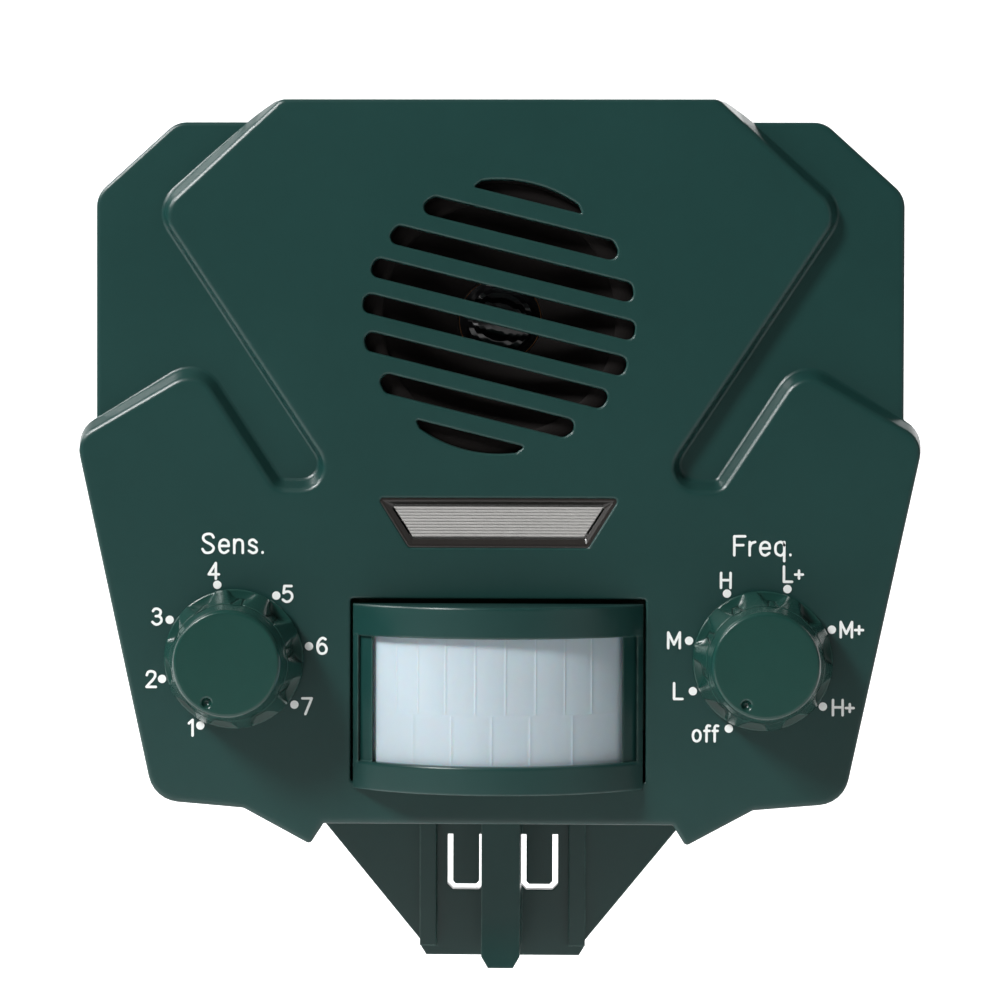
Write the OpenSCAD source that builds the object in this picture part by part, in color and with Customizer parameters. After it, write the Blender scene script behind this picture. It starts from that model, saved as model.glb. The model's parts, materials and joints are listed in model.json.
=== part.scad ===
// Ultrasonic pest repeller on a stake foot. Front faces -Y, up is +Z, and the origin is at the
// bottom of the foot, on the plate face that bears against the ground stake.

/* [Casing] */
// Distance from the stake plate forward to the raised face
face_front = 40; // [38:0.5:44]
// Height of the step between the two levels of the face
step_h = 3; // [2:0.1:4]
// Wall of both shells
wall = 2.4; // [2:0.1:2.6]
// Distance from the stake plate forward to the parting plane of the shells
parting_front = 20; // [19:0.5:22]
// Thickness of the rear wall and of the foot plate
back_wall = 3; // [2.5:0.1:3.5]

/* [Speaker grille] */
// Height of the grille centre
grille_z = 123.9; // [122:0.1:126]
// Radius of the round field of slots
grille_r = 25.3; // [23:0.1:26]
// Spacing between slots
slot_pitch = 6.77; // [6.5:0.01:7]
// Width of a slot
slot_w = 3.6; // [3:0.1:3.8]
// How far the middle of the slots lies above the middle of the speaker
slot_rise = 0.3; // [-1:0.1:1]
// Tilt of the slots, falling towards the right
slot_tilt = 13.9; // [0:0.1:20]

/* [Strobe window] */
// Height of the top edge of the strobe window
strobe_top_z = 90.6; // [90:0.1:91]
// Height of the strobe window
strobe_h = 9; // [8.5:0.1:9.4]
// Half width of its top edge
strobe_top_half = 21.8; // [20:0.1:23]
// Half width of its bottom edge
strobe_low_half = 16.7; // [15:0.1:18]

/* [Motion sensor] */
// Half width of the sensor housing
sensor_half_w = 26.8; // [26:0.1:27]
// Radius of the curved front of the housing
sensor_r = 34; // [33:0.1:35]
// Half width of the lens window
lens_half_w = 23; // [22:0.1:23.5]
// Height of the lower edge of the lens window
lens_low_z = 42.2; // [41.5:0.1:43]
// Height of the upper edge of the lens window
lens_top_z = 65.4; // [64:0.1:66.5]

/* [Knobs] */
// Distance of each knob axis from the centre line
knob_x = 48.8; // [48:0.1:49.5]
// Height of the knob axes
knob_z = 60.9; // [60:0.1:61.5]
// Radius of a knob at its skirt
knob_r = 12.9; // [12:0.1:13.2]
// Radius of a knob's front face
knob_face_r = 9.8; // [9:0.1:10.5]
// Height of a knob above the face
knob_h = 15.3; // [14:0.1:17]
// Number of finger flutes round a knob
flutes = 10; // [8:1:12]
// Radius of the shafts
shaft_r = 3; // [2.5:0.1:3]

/* [Battery bay] */
// Radius of a battery cell
cell_r = 13.1; // [12.8:0.05:13.1]
// Length of a battery cell
cell_len = 50; // [49:0.1:50]
// Height of the middle of the battery bay
bay_z = 74.4; // [74:0.1:75]
// How far the door stands out behind the rear wall
door_out = 13; // [12.8:0.1:15]

/* [Foot] */
// Half width of the foot plate at its lower end
foot_half_w = 16.2; // [15.5:0.1:17]
// Width of the central rib
rib_w = 7.4; // [6:0.1:8]
// How far the rib stands out in front of the plate
rib_depth = 16.2; // [14:0.1:18]
// Width over each U-shaped slot
tab_slot_w = 7.3; // [6:0.1:7.4]
// Width of the slot's legs
tab_gap = 1.1; // [0.8:0.1:1.2]

/* [Hidden] */
$fn = 48;
EPS = 0.01;
GREEN = "#24423e";
BLACK = "#18191a";

// Planes across the depth, front to back
face_y = -face_front;
base_y = face_y + step_h;
parting_y = -parting_front;
back_y = back_wall;
face_in_y = face_y + wall;
base_in_y = base_y + wall;
board_y = -24;
board_t = 1.6;
board_back_y = board_y + board_t;
tray_front_y = -14.6;

// Outline of the raised face, right half from the bottom up: x, z, corner radius
raised_half = [[32.4, 30.3, 0.5], [34.8, 26.4, 0.8], [47.2, 33.1, 1.5], [63.9, 34.5, 6],
    [78.7, 103.1, 5.4], [56.1, 116.3, 5.7], [40.2, 92.1, 2.5], [28.4, 92.1, 4.3],
    [63, 144.2, 5.2], [41.3, 164.3, 2.5]];
base_half_w = 74.9;
base_top_z = 160.3;
// Where the wing's upper edge and the raised face's top chamfer cross the lower level
function wing_z(x) = 103.1 + (78.7 - x) * (116.3 - 103.1) / (78.7 - 56.1);
function chamfer_x(z) = 41.3 + (164.3 - z) * (63 - 41.3) / (164.3 - 144.2);
// Outline of the whole body, where the lower level of the face stands past the raised one
body_half = [[32.4, 30.3, 0.5], [34.8, 26.4, 0.8], [47.2, 33.1, 1.5], [63.9, 34.5, 6],
    [78.7, 103.1, 5.4], [base_half_w, wing_z(base_half_w), 0.6], [base_half_w, 146.8, 5],
    [60, base_top_z, 5], [chamfer_x(base_top_z), base_top_z, 0.6], [41.3, 164.3, 2.5]];
// Outline of the rear housing
rear_half = [[60.5, 36.5, 7], [72, 96, 12], [72, 145, 6], [58, 157.8, 6]];
rear_rim_t = 2.5;
rear_inset = 0.3;
seal_outer_inset = 1;
seal_inner_inset = 1.9;
seal_half_t = 0.5;

// Screws that hold the shells together, right-hand ones: x, z and where the boss starts in the face
case_screw_at = [[63, 138, base_in_y - 1], [64.8, 101, face_in_y - 1], [50.5, 41, face_in_y - 1]];
boss_r = 3.6;
pilot_r = 1.25;
well_r = 4.3;
well_bore_r = 3.2;
well_floor_t = 4;
case_screw_r = 1.2;
case_head_r = 2.9;
case_screw_hole_r = 1.7;

// Dial and knob
knob_gap = 0.6;
knob_skirt_h = 3.2;
flute_r = 3.3;
flute_at_r = 14.6;
flute_turn = 8;
dimple_at_r = 7.9;
dimple_r = 0.9;
dial_start = 207;
shaft_bore_depth = 9.5;
bushing_r = 4.8;
bushing_bore_r = shaft_r + 0.1;
face_hole_r = shaft_r + 0.25;
ring_seat_r = 5;
ring_front_y = face_y + 1.4;
ring_back_y = ring_front_y + 1.7;
control_w = 17;
control_front_y = -31;
control_boss_y = -35.4;

// Strobe and sensor
strobe_low_z = strobe_top_z - strobe_h;
strobe_gap = 0.05;
lens_rim = 1.5;
lens_rim_low = 2;
sensor_axis_y = face_y + sqrt(pow(sensor_r, 2) - pow(27, 2));
sensor_low_z = 37;
sensor_high_z = 71.2;
bay_half_w = 27.3;
bay_low_z = 38.2;
bay_high_z = 72.1;
housing_t = 1.6;
flange_t = 1.5;
lens_t = 0.8;
sensor_mid_z = 54.3;

// Speaker, on an axis along Y
frame_r = 30;
frame_flange_t = 1.8;
speaker_boss_ring_r = 33.2;
speaker_boss_at = [for (a = [45:90:315])
    [speaker_boss_ring_r * cos(a), grille_z + speaker_boss_ring_r * sin(a)]];
speaker_boss_r = 3.2;

// Battery bay and door
bay_half_x = 55;
bay_half_z = 27.5;
row_half = 13.7;
tray_wall = 1.7;
cell_y = 0.3;
divider_half = 0.8;
contact_t = 0.5;
nub_r = 3.6;
nub_len = 1.5;
door_half_x = 58;
door_half_z = 30.4;
door_front_y = back_y + 1;
door_back_y = back_y + door_out;
door_wall = 2;
door_seal_t = 0.8;
hinge_y = 7;
hinge_z = bay_z - door_half_z - 3.2;
hinge_r = 3;
hinge_pin_r = 1.25;
hinge_run_r = 1.33;
lug_near = 20;
lug_w = 4;
ear_w = 7.4;
ear_gap = 0.3;
lug_far = lug_near + lug_w + ear_w + 2 * ear_gap;
latch_z = bay_z + door_half_z + 5.6;
latch_tab_half = 7;
latch_tab_t = 3;
latch_screw_r = 1.4;
latch_head_r = 5;
latch_tip_y = 0.2;

// Power inlet on the rear wall
inlet_x = 50;
inlet_z = 119;
inlet_bore_r = 2.9;
inlet_pin_r = 1.05;
cover_half = 6.5;
cover_t = 2;
cover_y = back_y + 0.3;
cover_hinge_y = back_y + 2.6;
cover_hinge_z = inlet_z + 9.6;
cover_pin_r = 1.2;
cover_pin_gap = 0.05;

// Foot
foot_slope = 1.22;
foot_top_z = 44;
foot_step_z = 3;
tab_slot_x = 7.2;
tab_slot_low = 12.9;
tab_slot_high = 23.8;
rail_w = 3.2;
rail_t = 1.6;

// --- outlines and solids that repeat ---

function unit(v) = v / norm(v);
function flat(v) = [v[0], v[1]];
// Points of one rounded corner v between its neighbours p and q, moved outwards by d
function corner(p, v, q, d) =
    let (u1 = unit(flat(v) - flat(p)), u2 = unit(flat(q) - flat(v)),
        n1 = [u1[1], -u1[0]], n2 = [u2[1], -u2[0]],
        m = (n1 + n2) / (1 + n1 * n2),
        turn = atan2(u1[0] * u2[1] - u1[1] * u2[0], u1 * u2),
        s = sign(turn),
        r = max(0.1, v[2] + s * d),
        c = flat(v) + (d - s * r) * m,
        a = atan2(n1[1], n1[0]),
        n = max(2, ceil(abs(turn) / 15)))
    [for (k = [0:n]) c + s * r * [cos(a + turn * k / n), sin(a + turn * k / n)]];
function rounded(pts, d = 0) =
    [for (i = [0:len(pts) - 1])
        each corner(pts[(i + len(pts) - 1) % len(pts)], pts[i], pts[(i + 1) % len(pts)], d)];
// The whole outline from its right half, anticlockwise
function both_sides(half) =
    concat(half, [for (i = [len(half) - 1:-1:0]) [-half[i][0], half[i][1], half[i][2]]]);
raised = both_sides(raised_half);
body = both_sides(body_half);
rear = both_sides(rear_half);

// An X-Z outline made solid from y0 back to y1
module slab(y0, y1) {
    translate([0, y1, 0]) rotate([90, 0, 0]) linear_extrude(y1 - y0) children();
}
// A round bar along Y
module rod(x, z, y0, y1, r) {
    translate([x, y0, z]) rotate([-90, 0, 0]) cylinder(h = y1 - y0, r = r);
}
// A block between two corners
module block(low, high) {
    translate(low) cube(high - low);
}
// A turned piece on an axis along Y; its profile holds [radius, distance behind y0]
module turned(x, z, y0, profile) {
    translate([x, y0, z]) rotate([-90, 0, 0]) rotate_extrude() polygon(profile);
}
module both() {
    children();
    mirror([1, 0, 0]) children();
}
// A solid between two outlines of equal length at y0 and y1
module loft(outline0, outline1, y0, y1) {
    n = len(outline0);
    points = concat([for (p = outline0) [p[0], y0, p[1]]], [for (p = outline1) [p[0], y1, p[1]]]);
    sides = [for (i = [0:n - 1]) [i, (i + 1) % n, n + (i + 1) % n, n + i]];
    polyhedron(points, concat([[for (i = [n - 1:-1:0]) i]], sides,
        [[for (i = [0:n - 1]) n + i]]), convexity = 6);
}
// Points of a smooth route through hand-set points
function spline_at(a, b, c, d, t) =
    0.5 * ((2 * b) + (c - a) * t + (2 * a - 5 * b + 4 * c - d) * t * t
        + (3 * b - a - 3 * c + d) * t * t * t);
function smooth(pts, steps) =
    concat([for (i = [0:len(pts) - 2], k = [0:steps - 1])
        spline_at(pts[max(0, i - 1)], pts[i], pts[i + 1], pts[min(len(pts) - 1, i + 2)],
            k / steps)], [pts[len(pts) - 1]]);
// A wire of radius r along a route that never runs along the side vector
module wire(route, r, sides, side) {
    n = len(route);
    points = [for (i = [0:n - 1])
        let (d = unit(route[min(n - 1, i + 1)] - route[max(0, i - 1)]),
            u = unit(cross(d, side)), v = cross(d, u))
        for (k = [0:sides - 1])
            route[i] + r * (cos(360 * k / sides) * u + sin(360 * k / sides) * v)];
    skin = [for (i = [0:n - 2], k = [0:sides - 1], half = [0, 1])
        let (a = i * sides + k, b = a + sides, c = b - k + (k + 1) % sides, d = c - sides)
        half == 0 ? [a, b, c] : [a, c, d]];
    polyhedron(points, concat([[for (k = [0:sides - 1]) k]], skin,
        [[for (k = [sides - 1:-1:0]) (n - 1) * sides + k]]), convexity = 4);
}

// --- shells ---

// The slot at a distance off the grille's centre line: as long as the round field allows
function slot_outline(off) =
    let (reach = sqrt(pow(grille_r, 2) - pow(abs(off) + slot_w / 2, 2)),
        wide = sqrt(pow(grille_r, 2) - pow(abs(off) - slot_w / 2, 2)),
        low = off > 0 ? wide : reach, high = off > 0 ? reach : wide,
        r = 1.4)
    rounded([[-low, off - slot_w / 2, r], [low, off - slot_w / 2, r],
        [high, off + slot_w / 2, r], [-high, off + slot_w / 2, r]]);
// The crescent left between the outermost bar and the edge of the field
crescent_low = 22.1;
crescent_half = 10.4;
function crescent() =
    let (a = asin(crescent_half / grille_r), n = 14)
    concat([[-crescent_half, crescent_low], [crescent_half, crescent_low]],
        [for (k = [0:n]) grille_r * [sin(a - 2 * a * k / n), cos(a - 2 * a * k / n)]]);
module grille_slots() {
    translate([0, 0, grille_z + slot_rise]) rotate([0, slot_tilt, 0]) {
        for (i = [-2.5:1:2.5]) slab(face_y - 1, face_in_y + 1) polygon(slot_outline(i * slot_pitch));
        for (turn = [0, 180]) rotate([0, turn, 0]) slab(face_y - 1, face_in_y + 1) polygon(crescent());
    }
}
function strobe_outline(d) =
    rounded([[-strobe_low_half, strobe_low_z, 1.2], [strobe_low_half, strobe_low_z, 1.2],
        [strobe_top_half, strobe_top_z, 1], [-strobe_top_half, strobe_top_z, 1]], d);

module front_shell() {
    color(GREEN) difference() {
        union() {
            difference() {
                union() {
                    slab(base_y, parting_y) polygon(rounded(body));
                    slab(face_y, base_y + 1) polygon(rounded(raised));
                }
                slab(base_in_y, parting_y + 1) polygon(rounded(body, -wall));
                slab(face_in_y, base_in_y + EPS) polygon(rounded(raised, -wall - 0.6));
            }
            both() for (p = case_screw_at) rod(p[0], p[1], p[2], parting_y, boss_r);
            both() for (p = board_post_at) rod(p[0], p[1], face_in_y - 1, board_y, board_post_r);
            for (p = speaker_boss_at)
                rod(p[0], p[1], face_in_y - 1, face_in_y + frame_flange_t, speaker_boss_r);
            for (s = [-1, 1]) rod(s * knob_x, knob_z, face_in_y - 1, control_boss_y, ring_seat_r + 2);
        }
        both() for (p = case_screw_at) rod(p[0], p[1], base_in_y, parting_y + 1, pilot_r);
        both() for (p = board_post_at) rod(p[0], p[1], base_in_y, board_y + 1, board_pilot_r);
        for (p = speaker_boss_at) rod(p[0], p[1], face_y + 1, base_in_y, board_pilot_r);
        grille_slots();
        slab(face_y - 1, face_in_y + 1) polygon(strobe_outline(strobe_gap));
        block([-bay_half_w, face_y - 1, bay_low_z], [bay_half_w, base_in_y + 1, bay_high_z]);
        for (s = [-1, 1]) {
            rod(s * knob_x, knob_z, face_y - 1, base_in_y + 3, face_hole_r);
            rod(s * knob_x, knob_z, ring_front_y, base_in_y + 3, ring_seat_r);
        }
        slab(parting_y - seal_half_t, parting_y + 1) seal_ring();
    }
}
module seal_ring() {
    difference() {
        polygon(rounded(body, -seal_outer_inset));
        polygon(rounded(body, -seal_inner_inset));
    }
}
module case_seal() {
    color(BLACK) slab(parting_y - seal_half_t, parting_y + seal_half_t) seal_ring();
}

foot_wide = foot_half_w + (foot_top_z - foot_step_z) / foot_slope;
foot_outline = [[-foot_half_w + 1.2, 0], [foot_half_w - 1.2, 0], [foot_half_w - 0.2, 1.6],
    [foot_half_w, foot_step_z], [foot_wide, foot_top_z], [-foot_wide, foot_top_z],
    [-foot_half_w, foot_step_z], [-foot_half_w + 0.2, 1.6]];
// A slot round three sides of a spring tab, open upwards
function tab_outline() =
    let (h = tab_slot_w / 2, g = tab_gap, z0 = tab_slot_low, z1 = tab_slot_high)
    [[-h, z0 + g], [-h + g, z0], [h - g, z0], [h, z0 + g], [h, z1], [h - g, z1],
        [h - g, z0 + 1.5 * g], [h - 1.5 * g, z0 + g], [-h + 1.5 * g, z0 + g],
        [-h + g, z0 + 1.5 * g], [-h + g, z1], [-h, z1]];
rib_top_z = 38;
rib_ramp_z = 9.9;
rib_ramp = 0.8;
rib_chamfer_h = 2.2;
rib_chamfer_w = 1.3;
module foot() {
    difference() {
        slab(0, back_y) polygon(foot_outline);
        for (s = [-1, 1]) translate([s * tab_slot_x, 0, 0]) slab(-1, back_y + 1) polygon(tab_outline());
    }
    both() block([foot_half_w - rail_w, -rail_t, foot_step_z - 1], [foot_half_w, EPS, rib_top_z]);
    intersection() {
        translate([-rib_w / 2, 0, 0]) rotate([90, 0, 90]) linear_extrude(rib_w)
            polygon([[0, 0], [0, rib_top_z], [-rib_depth, rib_top_z], [-rib_depth, rib_ramp_z],
                [-rib_depth - rib_ramp, 0]]);
        slab(-rib_depth - 2, 1) polygon([[-rib_w / 2 + rib_chamfer_w, 0],
            [rib_w / 2 - rib_chamfer_w, 0], [rib_w / 2, rib_chamfer_h], [rib_w / 2, rib_top_z],
            [-rib_w / 2, rib_top_z], [-rib_w / 2, rib_chamfer_h]]);
    }
}
keyhole_z = 140;
keyhole_r = 4.2;
keyhole_slot_half = 2.2;
keyhole_up = 8;
keyhole_depth = 6;
module rear_shell() {
    color(GREEN) difference() {
        union() {
            difference() {
                union() {
                    slab(parting_y, parting_y + rear_rim_t) polygon(rounded(body, -rear_inset));
                    slab(parting_y, back_y) polygon(rounded(rear));
                }
                slab(parting_y - 1, 0) polygon(rounded(rear, -wall));
            }
            both() for (p = case_screw_at) rod(p[0], p[1], parting_y, EPS, well_r);
            block([-8, -keyhole_depth - 1.5, keyhole_z - 7], [8, EPS, keyhole_z + keyhole_up + 5]);
            rod(0, latch_z, -6, EPS, 4.4);
            foot();
            both() for (x = [lug_near, lug_far]) {
                block([x, back_y - EPS, hinge_z - hinge_r], [x + lug_w, hinge_y, hinge_z + hinge_r]);
                translate([x, hinge_y, hinge_z]) rotate([0, 90, 0]) cylinder(h = lug_w, r = hinge_r);
            }
            for (s = [-1, 1]) translate([inlet_x + s * 5.2, 0, 0]) cover_lug();
        }
        block([-bay_half_x, -EPS, bay_z - bay_half_z], [bay_half_x, back_y + 1, bay_z + bay_half_z]);
        both() for (p = case_screw_at) {
            rod(p[0], p[1], parting_y + well_floor_t, back_y + 1, well_bore_r);
            rod(p[0], p[1], parting_y - 1, back_y, case_screw_hole_r);
        }
        rod(0, keyhole_z, -keyhole_depth, back_y + 1, keyhole_r);
        block([-keyhole_slot_half, -keyhole_depth, keyhole_z],
            [keyhole_slot_half, back_y + 1, keyhole_z + keyhole_up]);
        rod(0, latch_z, -5, back_y + 1, insert_r);
        rod(inlet_x, inlet_z, -1, back_y + 1, inlet_barrel_r);
        both() translate([lug_near - 1, hinge_y, hinge_z]) rotate([0, 90, 0])
            cylinder(h = lug_far + lug_w - lug_near + 2, r = hinge_pin_r);
        slab(parting_y - 1, parting_y + seal_half_t) seal_ring();
    }
}
case_screw_tip_y = -34;
module case_screws() {
    color("silver") both() for (p = case_screw_at) {
        rod(p[0], p[1], case_screw_tip_y, parting_y + well_floor_t + EPS, case_screw_r);
        difference() {
            rod(p[0], p[1], parting_y + well_floor_t, parting_y + well_floor_t + 2, case_head_r);
            for (a = [0, 90]) translate([p[0], parting_y + well_floor_t + 1.5, p[1]]) rotate([0, a, 0])
                cube([3.4, 1.6, 0.7], center = true);
        }
    }
}

// --- speaker ---

module speaker_frame() {
    color(BLACK) turned(0, grille_z, face_in_y, [[25.9, 0], [frame_r, 0],
        [frame_r, frame_flange_t], [26.6, frame_flange_t], [17, 11], [17, 12.8], [8.6, 12.8],
        [8.6, 11.4], [15.6, 11.4], [25.2, 2.2], [25.2, 1.2], [25.9, 1.2]]);
}
module speaker_surround() {
    mid = 23.3;
    rise = 0.6;
    color("#202122") turned(0, grille_z, face_in_y, concat([[25.8, 0.65], [25.8, 1.15]],
        [for (a = [0:20:180]) [mid + 1.4 * cos(a), 1.15 - rise * sin(a)]],
        [for (a = [180:-20:0]) [mid + 1.8 * cos(a), 0.65 - rise * sin(a)]]));
}
module speaker_cone() {
    color(BLACK) turned(0, grille_z, face_in_y, [[21.6, 1.2], [21.6, 1.7], [14, 5.2], [7.9, 7.4],
        [7.9, 6.9], [14, 4.7]]);
}
cap_r = 7.6;
cap_rise = 3.2;
cap_ball = (pow(cap_r, 2) + pow(cap_rise, 2)) / (2 * cap_rise);
function cap_arc(r, shift) =
    let (a = asin(cap_r / cap_ball))
    [for (k = [0:8]) [r * sin(a * k / 8), shift - r * cos(a * k / 8)]];
module speaker_dust_cap() {
    color(BLACK) turned(0, grille_z, face_in_y + 7 + cap_ball - cap_rise,
        concat(cap_arc(cap_ball, 0), [for (i = [8:-1:0]) cap_arc(cap_ball - 0.4, 0)[i]]));
}
module voice_coil() {
    color("#b06a36") turned(0, grille_z, face_in_y + 7.5,
        [[7.1, 0], [7.7, 0], [7.7, 8], [7.1, 8]]);
}
module speaker_magnet() {
    color("#2e2f31") turned(0, grille_z, face_in_y + 12.8,
        [[8.6, 0], [14.6, 0], [15, 0.4], [15, 5.6], [14.6, 6], [8.6, 6]]);
}
module speaker_yoke() {
    color("silver") turned(0, grille_z, face_in_y + 9,
        [[0, 0], [6.8, 0], [6.8, 9.8], [13.2, 9.8], [13.6, 10.2], [13.6, 11.6], [13.2, 12], [0, 12]]);
}
module speaker_screws() {
    y0 = face_in_y + frame_flange_t;
    color("silver") for (p = speaker_boss_at) {
        x = p[0];
        z = p[1];
        rod(x, z, face_y + 1.2, y0 + EPS, 0.95);
        difference() {
            rod(x, z, y0, y0 + 1.5, 4.2);
            block([x - 1.8, y0 + 0.8, z - 0.35], [x + 1.8, y0 + 2, z + 0.35]);
            block([x - 0.35, y0 + 0.8, z - 1.8], [x + 0.35, y0 + 2, z + 1.8]);
        }
    }
}
wire_r = 0.6;
wire_gap = 2.4;
speaker_route = [[-3, -24.6, 107.5], [-3, -23.8, 107.5], [-3.1, -22, 106], [-3.3, -20.6, 102],
    [-3.4, -20.3, 97], [-3.4, -20.3, 91.6], [-3.4, -20.3, 90.1]];
module speaker_wires() {
    color("firebrick") for (i = [0, 1])
        wire(smooth([for (p = speaker_route) p + [i * wire_gap, 0, 0]], 3), wire_r, 8, [1, 0, 0]);
}

// --- strobe ---

strobe_lens_outline = [[-15.7, strobe_low_z + lens_rim_low, 0.4],
    [15.7, strobe_low_z + lens_rim_low, 0.4], [19.3, strobe_top_z - lens_rim, 0.4],
    [-19.3, strobe_top_z - lens_rim, 0.4]];
bezel_back_y = face_in_y + 1;
module strobe_bezel() {
    color(BLACK) difference() {
        union() {
            slab(face_y + 0.1, bezel_back_y) polygon(strobe_outline(-0.1));
            slab(face_in_y, bezel_back_y) polygon(strobe_outline(1.4));
        }
        slab(face_y - 1, bezel_back_y + 1) polygon(rounded(strobe_lens_outline));
        slab(face_y + 1, bezel_back_y + 1) polygon(rounded(strobe_lens_outline, 0.6));
    }
}
rib_count = 9;
module strobe_lens() {
    low = strobe_low_z + lens_rim_low;
    pitch = (strobe_h - lens_rim - lens_rim_low) / rib_count;
    color([0.85, 0.86, 0.86, 0.6]) {
        difference() {
            slab(face_y + 0.9, bezel_back_y) polygon(rounded(strobe_lens_outline, -0.05));
            for (i = [1:rib_count - 1]) translate([0, face_y + 0.9, low + i * pitch])
                rotate([45, 0, 0]) cube([50, 0.3, 0.3], center = true);
        }
        difference() {
            slab(face_y + 1.2, bezel_back_y) polygon(rounded(strobe_lens_outline, 0.55));
            slab(face_y, bezel_back_y + 1) polygon(rounded(strobe_lens_outline, -0.2));
        }
    }
}
reflector_back_y = -30;
lamp_board_t = 1.2;
module strobe_reflector() {
    mid = (strobe_top_z + strobe_low_z) / 2;
    low = strobe_low_z + 2.6;
    high = strobe_top_z - 1.8;
    color("silver") difference() {
        slab(bezel_back_y, reflector_back_y) polygon(strobe_outline(0.4));
        loft([[-19.2, low], [19.2, low], [20, high], [-20, high]],
            [[-15, mid - 2.4], [15, mid - 2.4], [15.6, mid + 2.6], [-15.6, mid + 2.6]],
            bezel_back_y - EPS, reflector_back_y + EPS);
    }
}
module strobe_board() {
    color("#1d5c3a") block([-22, reflector_back_y, strobe_low_z - 0.6],
        [22, reflector_back_y + lamp_board_t, strobe_top_z + 0.6]);
}
lamp_z = strobe_top_z - strobe_h / 2 + 0.1;
lamp_at = [-10.5, -3.5, 3.5, 10.5];
module strobe_lamps() {
    color("ivory") for (x = lamp_at) {
        block([x - 1.4, reflector_back_y - 0.9, lamp_z - 1.4], [x + 1.4, reflector_back_y, lamp_z + 1.4]);
        rod(x, lamp_z, reflector_back_y - 1.2, reflector_back_y - 0.89, 1.1);
    }
}
module strobe_pins() {
    color("gold") for (x = [-17, -14.5])
        rod(x, lamp_z, reflector_back_y + lamp_board_t, board_y, 0.4);
}

// --- motion sensor ---

module upright(r, z0, z1) {
    translate([0, sensor_axis_y, z0]) cylinder(h = z1 - z0, r = r, $fn = 96);
}
module sensor_housing() {
    lip_y = face_y - 0.05;
    back = face_in_y + flange_t;
    color(GREEN) difference() {
        union() {
            intersection() {
                upright(sensor_r, bay_low_z + 0.3, sensor_high_z);
                block([-sensor_half_w, -60, bay_low_z], [sensor_half_w, back, sensor_high_z]);
            }
            intersection() {
                upright(sensor_r, sensor_low_z, bay_low_z + 0.4);
                block([-sensor_half_w, -60, sensor_low_z], [sensor_half_w, lip_y, bay_high_z]);
            }
            block([-sensor_half_w - 3, face_in_y + EPS, sensor_low_z - 1.5],
                [sensor_half_w + 3, back, sensor_high_z + 3]);
        }
        intersection() {
            upright(sensor_r - housing_t, bay_low_z + 1.8, sensor_high_z - 2.2);
            block([-lens_half_w - 2, -60, bay_low_z], [lens_half_w + 2, back + 1, sensor_high_z]);
        }
        block([-lens_half_w, -60, lens_low_z], [lens_half_w, sensor_axis_y, lens_top_z]);
    }
}
module sensor_lens() {
    r = sensor_r - housing_t - 0.1;
    color("#d3dde2") intersection() {
        difference() {
            upright(r, lens_low_z - 1.6, lens_top_z + 1.2);
            upright(r - lens_t, lens_low_z - 2, lens_top_z + 2);
        }
        block([-lens_half_w - 1.8, -60, lens_low_z - 2], [lens_half_w + 1.8, sensor_axis_y, 80]);
    }
}
sensor_board_y = -27;
module sensor_board() {
    color("#1d5c3a") block([-14, sensor_board_y, sensor_mid_z - 10],
        [14, sensor_board_y + 1.2, sensor_mid_z + 10]);
}
module sensor_can() {
    color("silver") difference() {
        union() {
            rod(0, sensor_mid_z, sensor_board_y - 4.2, sensor_board_y, 4.1);
            rod(0, sensor_mid_z, sensor_board_y - 0.7, sensor_board_y, 4.6);
        }
        block([-2, sensor_board_y - 5, sensor_mid_z - 1.5], [2, sensor_board_y - 3.9, sensor_mid_z + 1.5]);
    }
}
module sensor_pins() {
    color("gold") for (x = [-2.54, 0, 2.54])
        rod(x, sensor_mid_z - 8, sensor_board_y + 1.2, board_y, 0.4);
}

// --- knobs, shafts and controls ---

knob_back_y = face_y - knob_gap;
knob_front_y = face_y - knob_h;
module knob(x) {
    color(GREEN) difference() {
        turned(x, knob_z, knob_front_y, [[0, 0], [knob_face_r - 0.5, 0], [knob_face_r, 0.5],
            [knob_r - 0.3, knob_h - knob_gap - knob_skirt_h],
            [knob_r, knob_h - knob_gap - knob_skirt_h + 0.5], [knob_r, knob_h - knob_gap],
            [knob_r - 1.6, knob_h - knob_gap], [knob_r - 2, 4], [5.2, 4], [5.2, knob_h - knob_gap],
            [0, knob_h - knob_gap]]);
        for (i = [0:flutes - 1]) rotate_about(x, knob_z, flute_turn + i * 360 / flutes)
            rod(x, knob_z + flute_at_r, knob_front_y - 1, knob_back_y - 1.2, flute_r);
        rod(x, knob_z, knob_back_y - shaft_bore_depth, knob_back_y + 1, shaft_r);
        rotate_about(x, knob_z, dial_start)
            rod(x, knob_z + dimple_at_r, knob_front_y - 1, knob_front_y + 0.8, dimple_r);
    }
}
// Turns its children clockwise, as seen from the front, about an axis along Y
module rotate_about(x, z, angle) {
    translate([x, 0, z]) rotate([0, angle, 0]) translate([-x, 0, -z]) children();
}
module shaft(x) {
    color("silver") rod(x, knob_z, knob_back_y - shaft_bore_depth, control_front_y + 3, shaft_r);
}
module control(x, body_colour) {
    color(body_colour) difference() {
        union() {
            block([x - control_w / 2, control_front_y, knob_z - control_w / 2],
                [x + control_w / 2, board_y, knob_z + control_w / 2]);
            rod(x, knob_z, ring_back_y + 0.1, control_front_y + EPS, bushing_r);
        }
        rod(x, knob_z, ring_back_y - 1, control_front_y + 3.2, bushing_bore_r);
    }
}
module shaft_seal(x) {
    color(BLACK) turned(x, knob_z, ring_front_y, [[shaft_r + 0.05, 0.3], [shaft_r + 0.5, 0],
        [ring_seat_r - 0.1, 0], [ring_seat_r - 0.1, 1.7], [shaft_r + 0.5, 1.7], [shaft_r + 0.05, 1.4]]);
}
module sensitivity_knob() { knob(-knob_x); }
module frequency_knob() { knob(knob_x); }
module sensitivity_shaft() { shaft(-knob_x); }
module frequency_shaft() { shaft(knob_x); }
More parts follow.
